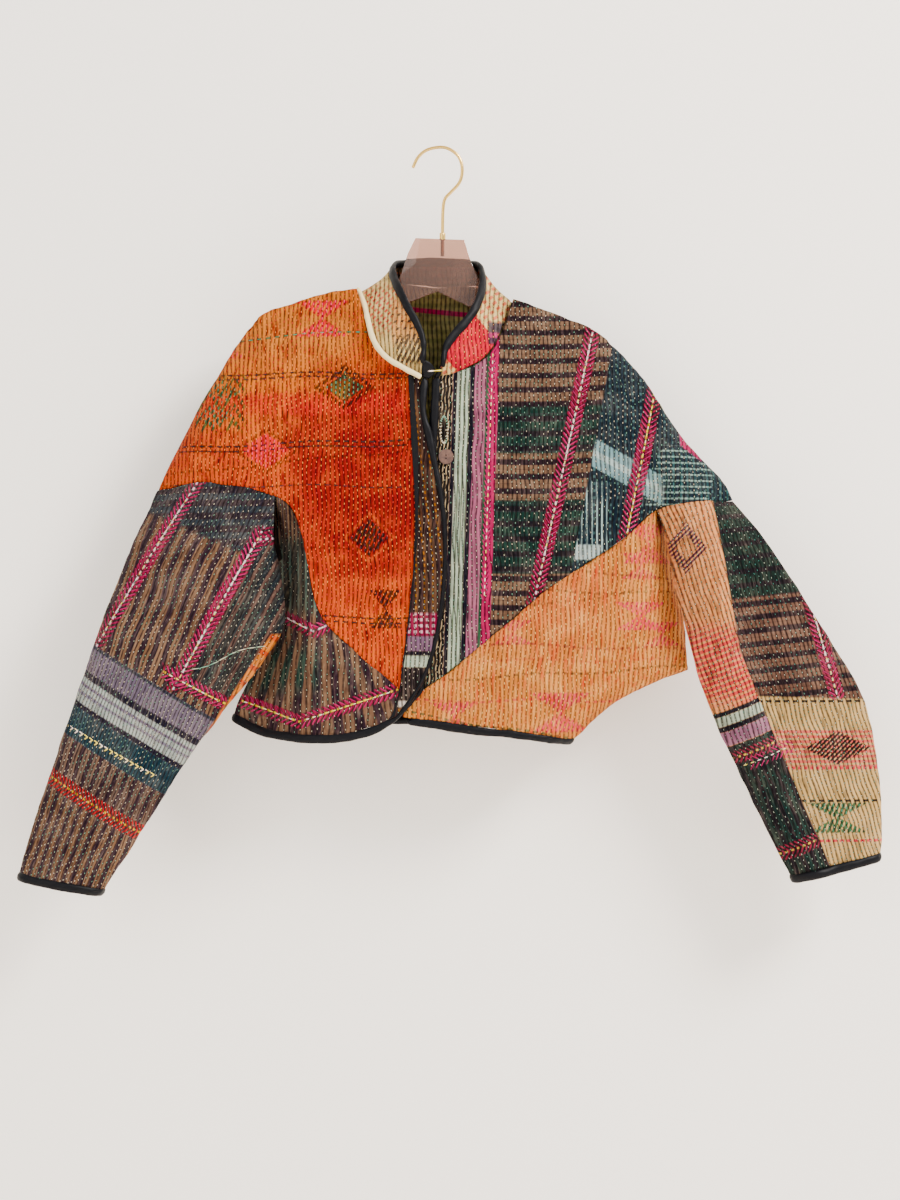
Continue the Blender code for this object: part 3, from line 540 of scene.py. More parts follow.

# %% [markdown]
# ## How the cloth is coloured
#
# Old quilts are printed, woven and mended, so each panel is a stack of simple layers: a ground colour,
# stripes, a band or a patch over it, and a motif of small stitches over that. `Painting` keeps the colour
# so far and lays the next one over it through a mask. Last come the things that every quilt shares: the
# weave, the blotchy fading and a painted shade, a soft dark line where a row of stitches sinks in.


# %% Layers of colour
class Painting(Maker):
    def __init__(self, name, ground):
        super().__init__(name)
        self.colour = ground
        self.across, self.down, self.depth = self.position()
        sewn = self.tree.nodes.new("ShaderNodeAttribute")
        sewn.attribute_name = "sewn"
        split = self.tree.nodes.new("ShaderNodeSeparateXYZ")
        self.tree.links.new(sewn.outputs["Vector"], split.inputs[0])
        self.along, self.beside, self.outside = (Signal(self, s) for s in split.outputs)

    def over(self, mask, colour, amount=1.0):
        share = mask * amount if amount != 1.0 else mask
        self.colour = self.mix(share, self.colour, rgb(*colour))

    def diamond(self, across, down, half_width, half_height, soft=0.12):
        beside = ((self.across - across) * (1 / half_width)).size()
        above = ((self.down - down) * (1 / half_height)).size()
        return (beside + above).under(1.0, soft)

    def hourglass(self, across, down, half_width, half_height):
        beside = (self.across - across).size() * (1 / half_width)
        above = (self.down - down).size() * (1 / half_height)
        return (beside - above).under(0.05, 0.1) * above.under(1.0, 0.08)

    def dashes(self, run, pitch, duty=0.6, start=0.0):
        return (run * (1 / pitch) + start).fract().within(0.0, duty, 0.12)

    def line(self, value, at, width, soft=0.8):
        return value.within(at - width / 2, at + width / 2, soft)

    def zigzag(self, run, pitch, height):
        """The height of a zigzag line at each place along it."""
        return ((run * (1 / pitch)).fract() - 0.5).size() * (2 * height)

    def embroidered(self, beside, run, width, thread, centre, mask=None):
        """Feather stitch: chevrons of bright thread with a row of short stitches down their middle."""
        slope = beside.size()
        inside = slope.under(width / 2, 1.2)
        if mask:
            inside = inside * mask
        chevron = ((run + slope * 0.9) * (1 / 5.2)).fract().within(0.24, 0.70, 0.2)
        self.over(inside, (40, 26, 40), 0.6)
        self.over(inside * chevron, thread, 0.9)
        dots = self.line(beside, 0, 2.0) * self.dashes(run, 6.5, 0.5)
        self.over(dots * inside, centre)

    def finish(self, tint=(255, 240, 220), fade=0.16, deepen=1.42, vivid=1.06, streak=(40, 24, 32),
               streaks=0.5):
        """Weave, wear, and painted shade in the sunken rows and the stitch dents, then roughness and bump."""
        beside_row = (self.beside * (1 / ROW) + 0.5).fract() - 0.5
        number = (self.beside * (1 / ROW) + 0.5).floor()
        painted_row_shade = beside_row.size().under(0.16, 0.2)
        run = self.along * (1 / STITCH) - number * STAGGER
        stitch_dent_and_shade = ((run + 0.5).fract() - 0.5).size().under(0.30, 0.2) * beside_row.size().under(0.2, 0.2)
        own = self.add("ShaderNodeTexCoord", output=3)
        blotches = self.noise(38.0, 4.0, own)
        slubs = self.noise(1.0, 2.0, self.vector(self.beside * 0.9, self.along * 0.08, self.depth * 0.9))
        worn = self.noise(420.0, 2.0, own)
        self.over(blotches.under(0.47, 0.3) * fade, (60, 38, 34))
        self.over((1 - blotches.under(0.55, 0.25)) * fade, tint)
        self.over((slubs - 0.5).higher(0.0) * 0.9, tint)
        uneven = self.noise(1.0, 3.0, self.vector(self.beside * 0.30, self.along * 0.045, self.depth * 0.3))
        self.over((uneven - 0.5).higher(0.0) * (4.0 * streaks), streak)
        # Painted shade: a soft dark line along each sunken row of stitches, and a fainter darkening in the
        # dent of each stitch.
        self.over(painted_row_shade, (34, 18, 22), 0.55)
        self.over(stitch_dent_and_shade, (34, 18, 22), 0.25)
        weave = self.add("ShaderNodeTexWave", {"wave_type": "BANDS"},
                         {"Vector": self.vector(self.beside, self.along), "Scale": 1.9, "Distortion": 0.6})
        ridge = ((beside_row.size() * 2) * (2 - beside_row.size() * 2))
        height = weave * 0.12 + worn * 0.35 + slubs * 0.4 + ridge * 1.5 - stitch_dent_and_shade * 0.3
        deep = self.add("ShaderNodeGamma", {}, {"Color": self.colour, "Gamma": deepen})
        deep = self.add("ShaderNodeHueSaturation", {}, {"Color": deep, "Saturation": vivid, "Value": 1.05})
        self.set(Base_Color=deep, Roughness=worn * 0.12 + 0.84)
        self.shader.inputs["Specular IOR Level"].default_value = 0.1
        self.bump(height, 0.0011, 0.9)
        return self.material


def slanted(painting, first, last):
    """How far to the right of a line that runs down between two places, and how far along it."""
    rows = Rows(first, last)
    along, beside = rows.at(painting.across, painting.down)
    return beside, along


SAFFRON, GOLD, DEEP_RED = (214, 108, 58), (214, 164, 110), (172, 2, 40)
BROWN, PLUM, GREEN = (150, 126, 108), (66, 46, 60), (36, 84, 76)
MAGENTA, PINK, LILAC, NAVY = (176, 14, 92), (224, 84, 96), (176, 132, 156), (26, 28, 58)
CREAM, PALE_GREEN, INK = (214, 186, 134), (196, 206, 190), (24, 16, 22)
print("the main colours are named")

# %% [markdown]
# ## The right front: saffron and red
#
# The right front is cut from one saffron quilt that deepens to red in the middle. Pairs of dark dashed lines
# cross it, and small diamonds and hourglasses are darned between them.

# %% Saffron quilt of the right front
front = Painting("right_front_cloth", rgb(*SAFFRON))
u, v = front.across, front.down
front.over(v.under(400, 110) * u.under(372, 60), GOLD, 0.75)
front.over(v.under(318, 60), (214, 150, 86), 0.5)
beside_red, above_red = (u - 368) * (1 / 74), (v - 478) * (1 / 104)
reach = (beside_red * beside_red + above_red * above_red).root()
front.over(reach.under(1.0, 0.6), DEEP_RED, 0.95)
front.over(v.within(560, 660, 40) * u.within(300, 420, 30), (222, 112, 56), 0.55)
for low, high, amount in ((403, 420, 0.5), (452, 476, 0.4), (496, 520, 0.75), (528, 540, 0.4),
                          (562, 578, 0.6)):
    front.over(v.within(low, high, 7) * u.within(306, 420, 46), (168, 4, 34), amount)
front.over(v.within(394, 416, 5) * front.dashes(u, 5, 0.7) * u.under(404, 6), PINK, 0.6)
front.over((v - (u - 300) * 0.02).within(398, 412, 3) * front.dashes(v + u * 0.2, 4, 0.5), (206, 40, 52), 0.5)
DARK_LINES = ((335, 0.06, (70, 92, 62), 0.8), (374, 0.0, INK, 0.75), (378, 0.0, INK, 0.6),
              (444, 0.035, INK, 0.85), (449, 0.035, INK, 0.7), (487, 0.0, INK, 0.35), (550, 0.02, INK, 0.4),
              (617, 0.0, INK, 0.75), (622, 0.0, INK, 0.6), (462, 0.1, INK, 0.45), (302, 0.03, INK, 0.35))
for height, slope, colour, amount in DARK_LINES:
    level = v + (u - 300) * slope + (u * 0.045).sine() * 1.6
    front.over(front.line(level, height, 2.2) * front.dashes(u, 9.0, 0.6, height * 0.13), colour, amount)
darned = front.dashes(u + v * 0.5, 5.2, 0.66)
front.over(front.hourglass(322, 318, 26, 18) * darned, (216, 44, 92), 0.95)
front.over(front.diamond(345, 388, 31, 23) * (1 - front.diamond(345, 388, 24, 17)) * darned, INK, 0.8)
front.over(front.diamond(345, 388, 20, 15), (52, 84, 58), 0.85)
chevrons = ((v + front.zigzag(u, 26, 20)) * (1 / 15)).fract().within(0.1, 0.62, 0.1)
front.over(chevrons * u.within(194, 246, 4) * v.within(376, 432, 5) * darned, (44, 110, 76), 0.9)
front.over(front.diamond(267, 452, 25, 18) * front.dashes(u, 4.6, 0.72), (222, 60, 86), 0.95)
front.over(front.diamond(267, 452, 32, 23) * (1 - front.diamond(267, 452, 28, 20)) * darned, INK, 0.6)
front.over(front.diamond(370, 538, 19, 19) * darned, (50, 22, 26), 0.95)
front.over(front.diamond(370, 538, 26, 26) * (1 - front.diamond(370, 538, 22, 22)), (230, 130, 60), 0.6)
front.over(front.hourglass(386, 609, 15, 19) * darned, (66, 26, 28), 0.9)
front.over(front.hourglass(232, 346, 13, 12) * darned, PINK, 0.5)
front.finish(tint=(250, 190, 110), fade=0.2, deepen=1.6, vivid=1.05, streak=(142, 8, 28), streaks=0.9)
print("right front:", len(front.tree.nodes), "shader nodes")

# %% [markdown]
# ## Striped quilts
#
# The other panels are cut from a darker quilt: brown and plum stripes a finger wide, crossed by bands of
# green, with strips of bright feather stitch over the seams of its patches.


# %% Stripes
def striped(painting, value, pitch, light, dark, share=0.6, soft=0.12, mask=None):
    """Stripes of two colours across a value, with a thin dark line in the light ones."""
    here = (value * (1 / pitch)).fract()
    light_mask, thin = here.within(0.0, share, soft), painting.line(here, share / 2, 0.07, 0.05)
    if mask:
        painting.over(mask, dark)
        light_mask, thin = light_mask * mask, thin * mask
    painting.over(light_mask, light)
    painting.over(thin, dark, 0.25)


print("stripes are laid with a share of light and a share of dark")

# %% The band beside the front edge
band = Painting("front_band_cloth", rgb(112, 84, 66))
u, v = band.across, band.down
lean = u - (v - 400).lower(160) * 0.12
band.over((lean * (1 / 8.5)).fract().within(0.1, 0.55, 0.15), PLUM, 0.9)
band.over((lean * (1 / 8.5)).fract().within(0.62, 0.78, 0.1) * band.dashes(v, 6, 0.5), (206, 150, 74), 0.9)
# Painted shade: the band is darkened in its upper part, where it lies deep in the gap between the fronts
# below the collar.
band.over(v.within(440, 520, 40), (96, 70, 58), 0.35)
band.over(v.within(613, 636, 3), (156, 34, 96))
band.over(v.within(613, 636, 3) * band.dashes(v, 6, 0.5) * band.dashes(u, 6, 0.5), (232, 200, 210), 0.9)
band.over(v.within(636, 651, 2), (150, 124, 146))
band.over(v.within(651, 655, 2), NAVY)
band.over(v.within(655, 667, 2), PALE_GREEN)
band.over(v.within(667, 700, 2), (104, 96, 96))
band.over(v.within(667, 700, 2) * (u * (1 / 5.0)).fract().within(0.0, 0.45, 0.1), (34, 24, 38))
band.over(v.within(700, 706, 2), (210, 206, 200))
band.finish(tint=(214, 190, 164), deepen=1.6)
print("front band:", len(band.tree.nodes), "shader nodes")

# %% The left front
left = Painting("left_front_cloth", rgb(*PLUM))
u, v = left.across, left.down
sag = v + (u - 500) * 0.02 + (u * 0.02).sine() * 2.5
striped(left, sag, 14.5, BROWN, (50, 34, 46), 0.62)
green_zone = (sag.within(406, 452, 3) + sag.within(500, 572, 3)).lower(1.0)
left.over(green_zone, (44, 36, 54))
left.over(green_zone * (sag * (1 / 15.0)).fract().within(0.0, 0.66, 0.1), GREEN)
left.over(green_zone * left.dashes(sag, 7.5, 0.14), (92, 70, 92), 0.5)
teal_side, _ = slanted(left, (612, 350), (574, 552))
patch = 1 - teal_side.under(0, 1.5)
left.over(patch, (28, 62, 78))
left.over(patch * left.dashes(v, 7, 0.4) * left.dashes(u, 8, 0.3), (128, 164, 160), 0.5)
left.over(patch * v.within(482, 552, 2) * u.under(606, 3) * (u * (1 / 5.0)).fract().within(0, 0.35, 0.1),
          (176, 196, 196))
pale_side, _ = slanted(left, (590, 452), (664, 492))
left.over(pale_side.size().under(13, 1.5) * patch * u.under(662, 3), (150, 178, 182))
left.over(pale_side.size().under(3, 1.0) * patch * u.under(662, 3), (206, 216, 212), 0.6)
left.over(patch * v.within(545, 560, 2) * u.under(600, 3), (196, 208, 206))
outer_side, outer_run = slanted(left, (657, 385), (612, 600))
left.embroidered(outer_side, outer_run, 17, MAGENTA, (226, 204, 84), mask=v.under(596, 4))
far_side, _ = slanted(left, (700, 420), (668, 530))
beyond = 1 - outer_side.under(12, 2)
rungs = (v * (1 / 6.0)).fract().within(0, 0.3, 0.1)
left.over(far_side.size().under(30, 2) * v.within(446, 506, 3) * beyond * rungs, (176, 198, 190), 0.8)
left.over((u - 692).size().under(11, 2) * (v - 446 - (u - 692) * 0.7).size().under(7, 2), (204, 44, 128), 0.9)
left.over(beyond * v.within(452, 505, 3) * left.dashes(u, 7, 0.3), (70, 130, 130), 0.4)
seam_side, seam_run = slanted(left, (596, 318), (536, 590))
left.embroidered(seam_side, seam_run, 16, MAGENTA, (236, 210, 220))
edge = u + (v - 390) * 0.035
left.over(edge.under(498, 1.5), (186, 120, 150))
EDGE_STRIPES = ((424, 453, (20, 18, 26)), (453, 457, NAVY), (457, 470, PALE_GREEN), (470, 474.5, NAVY),
                (474.5, 486, (190, 134, 156)), (486, 489, (60, 110, 84)), (489, 498, (196, 44, 122)))
for low, high, colour in EDGE_STRIPES:
    left.over(edge.within(low, high, 1.0), colour)
wavy = edge + (v * 0.35).sine() * 0.5
left.over(edge.within(436, 453, 1.0) * (wavy * (1 / 3.4)).fract().within(0.0, 0.36, 0.15)
          * (1 - left.dashes(v + edge * 2.1, 11.0, 0.2)), (226, 206, 176), 0.85)
# Painted shade: a near-black slit where the buttonhole opens.
left.over(left.diamond(444, 431, 3, 13), (8, 6, 10))
left.over(edge.within(457, 470, 1.0) * (edge * (1 / 4.3)).fract().within(0.0, 0.3, 0.15),
          (112, 128, 104), 0.85)
left.finish(tint=(210, 196, 180), fade=0.14, deepen=1.65)
print("left front:", len(left.tree.nodes), "shader nodes")

# %% [markdown]
# ## The left side panel and the two sleeves
#
# The left side comes from the golden end of the saffron quilt. Each sleeve is pieced from several strips,
# so its pattern is laid out along the arm: first the stripes, then the patches that cross them.

# %% Golden quilt of the left side
golden = Painting("left_side_cloth", rgb(214, 146, 66))
u, v = golden.across, golden.down
golden.over(v.within(560, 640, 60) * u.under(600, 60), (218, 122, 62), 0.6)
waves = (u + (v * 0.16).sine() * 1.4) * (1 / 6.5)
golden.over(waves.fract().within(0.0, 0.3, 0.2), (232, 176, 110), 0.55)
darned = golden.dashes(u + v * 0.5, 5.2, 0.66)
HOURGLASSES = ((648, 544, 26, 20), (640, 566, 20, 13), (640, 616, 26, 14), (662, 634, 20, 12),
               (560, 712, 30, 20), (454, 716, 24, 14), (512, 632, 20, 12), (700, 560, 16, 20))
for across, down, wide, high in HOURGLASSES:
    golden.over(golden.hourglass(across, down, wide, high) * darned, (214, 66, 96), 0.85)
THIN_LINES = ((590, 0.02, INK, 0.45), (612, -0.16, INK, 0.3), (644, 0.03, (150, 52, 60), 0.6),
              (676, -0.05, INK, 0.55), (700, 0.0, (206, 60, 84), 0.7), (727, 0.16, (60, 110, 84), 0.7),
              (560, 0.12, (120, 60, 40), 0.5), (660, 0.0, (206, 90, 60), 0.5))
for height, slope, colour, amount in THIN_LINES:
    level = v - (u - 500) * slope + (u * 0.05).sine() * 1.6
    golden.over(golden.line(level, height, 2.4) * golden.dashes(u, 8.0, 0.6, height * 0.13), colour, amount)
golden.over(u.within(640, 692, 20) * v.under(570, 20), (216, 150, 84), 0.5)
golden.finish(tint=(255, 220, 160), fade=0.2, deepen=1.45, vivid=1.0, streak=(206, 92, 40), streaks=0.9)
print("left side:", len(golden.tree.nodes), "shader nodes")

# %% The right side panel
side = Painting("right_side_cloth", rgb(*PLUM))
u, v = side.across, side.down
fan = (u - 322) / ((v - 560).higher(0) * 0.0075 + 0.25)
side.over((fan * (1 / 15.0)).fract().within(0.0, 0.55, 0.12), (134, 108, 90))
side.over(v.within(648, 690, 18) * u.under(318, 10) * (fan * (1 / 15.0)).fract().within(0.5, 1.0, 0.12),
          GREEN, 0.9)
side.embroidered(v - 631 + (u - 315).size() * 0.45, u, 15, MAGENTA, (236, 210, 220))
side.embroidered(v - 721 + (u - 300).size() * 0.33, u, 15, MAGENTA, (226, 204, 84))
side.over(v.within(540, 612, 12) * u.under(322, 6), (42, 60, 60), 0.7)
side.over(v.within(540, 612, 12) * u.under(322, 6) * side.dashes(u, 9, 0.3), (128, 160, 150), 0.4)
side.finish(tint=(214, 196, 170), fade=0.14)
print("right side:", len(side.tree.nodes), "shader nodes")

# %% The right sleeve
arm = Painting("right_sleeve_cloth", rgb(*PLUM))
u, v, run, beside = arm.across, arm.down, arm.along, arm.beside
striped(arm, beside + (run * 0.02).sine() * 2, 13.0, (142, 114, 92), (56, 38, 56), 0.55)
shoulder = run.under(54, 6)
arm.over(shoulder, (44, 40, 58), 0.85)
arm.over(shoulder * (v * (1 / 13.0)).fract().within(0.0, 0.5, 0.12), (60, 76, 84), 0.8)
inner_side, _ = slanted(arm, (262, 532), (180, 690))
inner = inner_side.within(8, 130, 4) * run.under(200, 6)
arm.over(inner, (34, 56, 62), 0.85)
arm.over(inner * (inner_side * (1 / 13.0)).fract().within(0, 0.34, 0.1), (118, 94, 86), 0.9)
ARM_BANDS = (((196, 488), (104, 640), 15, (236, 210, 220), v.under(650, 6)),
             ((264, 532), (180, 684), 16, (240, 226, 230), v.within(528, 690, 6)),
             ((168, 670), (228, 703), 15, (226, 204, 84), u.within(168, 236, 4)))
for first, last, width, centre, mask in ARM_BANDS:
    arm.embroidered(*slanted(arm, first, last), width, MAGENTA, centre, mask=mask)
arm.embroidered(v - 540 + (u - 262) * 0.1, u, 13, MAGENTA, (236, 210, 220), mask=u.within(258, 330, 4))
patch_edge = run - beside * 0.14
arm.over(patch_edge.within(205, 297, 1.5), (124, 114, 130))
ARM_PATCH = ((205, 208, (60, 70, 84)), (231, 238, NAVY), (238, 262, (178, 186, 182)),
             (243, 246, (128, 118, 138)), (251, 254, (140, 134, 150)), (262, 267, NAVY),
             (267, 297, (22, 70, 84)))
for low, high, colour in ARM_PATCH:
    arm.over(patch_edge.within(low, high, 1.4), colour)
arm.over(patch_edge.within(209, 262, 1.4) * (beside * (1 / 8.8)).fract().within(0.0, 0.12, 0.1),
         (206, 200, 190), 0.6)
arm.over(patch_edge.within(298, 334, 2) * (beside * (1 / 13.0)).fract().within(0.0, 0.5, 0.1),
         (110, 96, 94), 0.6)
arm.embroidered(patch_edge - 343, beside, 17, (206, 34, 54), (226, 196, 60))
strip_side, strip_run = slanted(arm, (264, 648), (100, 896))
under_arm = (1 - strip_side.under(0, 2)) * (1 - v.under(634, 3))
arm.over(under_arm, (226, 156, 92))
arm.over(under_arm * arm.dashes(strip_run, 18, 0.3), (206, 80, 60), 0.7)
arm.finish(tint=(206, 190, 176), fade=0.14)
print("right sleeve:", len(arm.tree.nodes), "shader nodes")

# %% The left sleeve
sleeve = Painting("left_sleeve_cloth", rgb(*PLUM))
u, v, run = sleeve.across, sleeve.down, sleeve.along
level = v + (u - 740) * 0.10
striped(sleeve, level, 13.5, (142, 112, 96), (54, 36, 50), 0.6)
outer_green = level.under(598, 3)
sleeve.over(outer_green, (46, 36, 54))
sleeve.over(outer_green * (level * (1 / 14.0)).fract().within(0.0, 0.66, 0.1), (34, 72, 66))
sleeve.embroidered(*slanted(sleeve, (806, 590), (838, 700)), 16, MAGENTA, (236, 210, 220),
                   mask=v.within(590, 700, 5))
beige = (v - (u - 800) * 0.03).within(697, 900, 2)
sleeve.over(beige, CREAM)
sleeve.over(beige * (v - (u - 800) * 0.02).within(729, 766, 3) * (v * (1 / 5.0)).fract().within(0, 0.6, 0.15),
            (228, 104, 108), 0.85)
sleeve.over(sleeve.diamond(838, 748, 34, 17) * sleeve.dashes(u + v, 5, 0.62), (34, 22, 30), 0.95)
sleeve.over(sleeve.line(v, 768, 3) * beige * sleeve.dashes(u, 6, 0.6), (222, 66, 92))
beige_lines = sleeve.line(v, 701, 2.4) + sleeve.line(v, 801, 2.4)
sleeve.over(beige_lines * beige * sleeve.dashes(u, 9, 0.65), INK, 0.9)
sleeve.over(sleeve.hourglass(838, 818, 30, 15) * sleeve.dashes(u + v * 0.4, 5.2, 0.6), (52, 108, 76), 0.9)
sleeve.over(sleeve.line(v, 841, 2.6) * beige * sleeve.dashes(u, 7, 0.7), (216, 74, 92))
edge = ((v - 510) * 0.165 + 714).higher((v - 650) * 0.432 + 737)
strip_in = (u - edge).under(0, 1.5)
across_strip = u - edge
sleeve.over(strip_in, (228, 172, 116))
sleeve.over(strip_in * v.under(640, 60) * sleeve.dashes(v + u * 0.3, 7, 0.5) * sleeve.dashes(u, 7, 0.6),
            (206, 130, 84), 0.5)
sleeve.over(strip_in * (((u - 684) * (1 / 20)).size() + ((v - 548) * (1 / 26)).size()).within(0.5, 1.0, 0.1)
            * sleeve.dashes(u + v, 5, 0.6), (96, 48, 92), 0.9)
sleeve.over(strip_in * v.within(628, 702, 20) * sleeve.dashes(v + u * 0.4, 6, 0.62), (222, 62, 84), 0.9)
across_down = v + (u - 740) * 0.42
for low, high, colour in ((704, 709, NAVY), (709, 720, PALE_GREEN), (720, 726, NAVY), (726, 742, LILAC)):
    sleeve.over(strip_in * across_down.within(low, high, 1.5), colour)
lower = strip_in * (across_down - 742).higher(0).lower(1)
sleeve.over(lower, (46, 40, 56))
sleeve.over(lower * (across_strip * (1 / 11.0)).fract().within(0.0, 0.55, 0.12), (36, 76, 72))
sleeve.embroidered(across_down - 756, across_strip, 15, MAGENTA, (226, 204, 84), mask=strip_in)
sleeve.embroidered(across_down - 872, across_strip, 17, MAGENTA, (226, 204, 84), mask=strip_in)
sleeve.finish(tint=(220, 200, 180), fade=0.14, deepen=1.65, vivid=0.98)
print("left sleeve:", len(sleeve.tree.nodes), "shader nodes")

# %% [markdown]
# ## The back and the collar
#
# The back repeats the striped quilt of the left front, and its inside is the olive cloth that shows in the
# neck. The collar is pieced from a cream quilt with short red stitches and one crimson patch.

# %% The back and the collar
back = Painting("back_cloth", rgb(*PLUM))
u, v = back.across, back.down
sag = v + ((u - 437) * 0.011).sine() * 6
striped(back, sag, 14.5, BROWN, (50, 34, 46), 0.62)
green_zone = (sag.within(330, 384, 3) + sag.within(470, 548, 3)).lower(1.0)
back.over(green_zone * (sag * (1 / 15.0)).fract().within(0.0, 0.66, 0.1), GREEN)
back.over(u.under(330, 2), (64, 46, 60))
back.over(u.under(330, 2) * (u * (1 / 12.0)).fract().within(0, 0.55, 0.1), (126, 98, 84))
back.over(u.within(560, 800, 2), (28, 62, 78))
back.over(u.within(560, 800, 2) * back.dashes(v, 7, 0.4) * back.dashes(u, 8, 0.3), (128, 164, 160), 0.5)
back.over(v.within(556, 720, 2), (210, 138, 62))
back.over(back.line(v, 590, 2.4) * back.dashes(u, 9, 0.6), INK, 0.7)
for across in (382, 437, 492):
    back.over(back.diamond(across, 622, 22, 20) * back.dashes(u + v * 0.5, 5.2, 0.6), (206, 60, 88), 0.9)
for across in (330, 476, 560):
    back.embroidered(u - across, v, 16, MAGENTA, (236, 210, 220), mask=v.under(556, 3))
inside = back.outside.under(-0.5, 0.3)
back.over(inside, (176, 170, 122))
back.over(inside * (v * (1 / 9.0)).fract().within(0, 0.5, 0.2), (146, 146, 100), 0.7)
back.over(inside * back.line(v - (u - 437) * 0.1, 306, 5), (196, 60, 120))
back.finish(tint=(210, 196, 180), fade=0.14)

ruff = Painting("collar_cloth", rgb(222, 200, 150))
u, v = ruff.across, ruff.down
ruff.over(u.under(437, 3) * v.within(286, 332, 16) * ruff.dashes(u + v, 6, 0.55) * ruff.dashes(u - v, 9, 0.6),
          (214, 84, 88), 0.85)
ruff.over(u.within(392, 440, 4) * v.within(300, 345, 10), (222, 166, 112), 0.8)
dots = ruff.dashes(u + v * 0.6, 7, 0.4) * ruff.dashes(v, 7, 0.4)
ruff.over(u.within(392, 440, 4) * v.within(305, 348, 8) * dots, (60, 40, 40), 0.9)
ruff.over(u.within(396, 434, 3) * v.within(338, 366, 5) * ruff.dashes(u + v * 0.5, 5.2, 0.6),
          (54, 34, 34), 0.9)
ruff.over(u.within(437, 520, 3) * ruff.dashes(u * 0.8 + v, 8, 0.5) * ruff.dashes(u - v * 0.7, 10, 0.6),
          (216, 96, 92), 0.7)
ruff.over(ruff.diamond(468, 347, 34, 38, 0.05), (206, 0, 66))
ruff.over(ruff.diamond(468, 347, 30, 34, 0.05) * ruff.dashes(u + v * 0.5, 4, 0.5), (226, 24, 90), 0.5)
ruff.over(u.within(488, 510, 2) * v.within(322, 345, 3), (70, 66, 92), 0.9)
ruff.over(u.within(488, 510, 2) * v.within(333, 338, 2), (206, 80, 140), 0.9)
ruff.over((v - (u - 437).size() * -0.9).within(404, 420, 3) * u.within(446, 520, 4), (184, 196, 170), 0.7)
far_half = ruff.depth.higher(0.0).lower(1.0)
ruff.over(far_half, (96, 44, 40), 0.9)
ruff.over(far_half * (v * (1 / 6.0)).fract().within(0, 0.5, 0.2), (52, 66, 48), 0.8)
ruff.finish(tint=(255, 236, 200), fade=0.16)
print("back and collar are painted")

# %% [markdown]
# ## Threads, then the panels
#
# The stitches are cotton, matt and a little twisted, and their dye varies from place to place. With threads
# and paintings at hand, each panel is one line: its slot, its material, its rows and its thread.


# %% Threads
def thread(name, colour, other):
    """Cotton thread of two near colours that change from place to place."""
    made = Maker(name)
    patchy = made.noise(55.0, 2.0, made.add("ShaderNodeTexCoord", output=3))
    twist = made.noise(2600.0, 1.0, made.add("ShaderNodeTexCoord", output=3))
    made.set(Base_Color=made.mix(patchy.within(0.5, 1.0, 0.1), rgb(*colour), rgb(*other)),
             Roughness=twist * 0.1 + 0.62)
    made.bump(twist, 0.0002, 0.6)
    made.shader.inputs["Specular IOR Level"].default_value = 0.15
    return made.material


WARM = thread("warm_thread", (222, 122, 50), (196, 44, 30))
HONEY = thread("honey_thread", (228, 170, 88), (214, 118, 54))
PALE = thread("pale_thread", (204, 190, 164), (110, 156, 132))
SEA = thread("sea_thread", (166, 176, 156), (56, 124, 110))
print("four threads are spun for the rows")

# %% Cloth pieces
# Level lines inside the jacket, from which faces look outwards: the first x, the last x and the depth.
FRONT, BEHIND, ROUND, NECK = (-1, 1, 0.05), (-1, 1, -0.05), (-0.15, 0.15, -0.008), (0, 0, 0.0)
quilt("right_front", "saffron", front.material, DOWN, 1, FRONT, WARM, 0.95, 0.0026)
quilt("right_front_band", "stripe", band.material, DOWN, 2, FRONT, PALE)
quilt("left_front", "stripe", left.material, DOWN, 3, FRONT, PALE)
quilt("back", "stripe", back.material, DOWN, 4, BEHIND, SEA)
quilt("right_side_panel", "stripe", side.material, RIGHT_SIDE, 5, ROUND, PALE)
quilt("left_side_panel", "saffron", golden.material, LEFT_SIDE, 6, ROUND, HONEY, 0.95, 0.0026)
quilt("right_sleeve_front", "stripe", arm.material, RIGHT_ARM, 9, FRONT, PALE)
quilt("right_sleeve_back", "stripe", arm.material, RIGHT_ARM, 9, BEHIND, SEA)
quilt("left_sleeve_front", "stripe", sleeve.material, LEFT_ARM, 10, FRONT, SEA)
quilt("left_sleeve_back", "stripe", sleeve.material, LEFT_ARM, 10, BEHIND, SEA)
quilt("collar", "cream", ruff.material, DOWN, 11, NECK, HONEY, 0.8)

# %% [markdown]
# ## Bindings, tape and piping
#
# The raw edges are wrapped in a bias strip of black sateen. It is smooth beside the quilting, a little
# puckered where it is sewn down, and it catches the light along its curve.


# %% Sateen
def sateen(name, colour, roughness=0.5):
    made = Maker(name)
    own = made.add("ShaderNodeTexCoord", output=3)
    worn = made.noise(160.0, 3.0, own)
    fine = made.noise(1400.0, 1.0, own)
    lighter = tuple(min(255, v + 9) for v in colour)
    made.set(Base_Color=made.mix((worn - 0.45).higher(0.0) * 1.2, rgb(*colour), rgb(*lighter)),
             Roughness=worn * 0.15 + (roughness - 0.07))
    made.bump(fine * 0.4 + worn * 0.8, 0.0004, 0.6)
    made.shader.inputs["Specular IOR Level"].default_value = 0.12
    return made.material


def trim(node, slot, material, levels=2, longest=0.006, pucker=0.00035, swell=0.0011):
    """A trim, rounded, plumped out to meet the cloth, and puckered a little by the stitches that hold it."""
    mesh = rounded("sewn_" + node, copied(node), levels)
    finer(mesh, longest)
    points, normals = mesh_arrays(mesh)
    points += normals * (swell + pucker * ripples(points, 21, 0.012))[:, None]
    mesh.vertices.foreach_set("co", points.ravel())
    return finish_piece("sewn_" + node, mesh, node, slot, material)


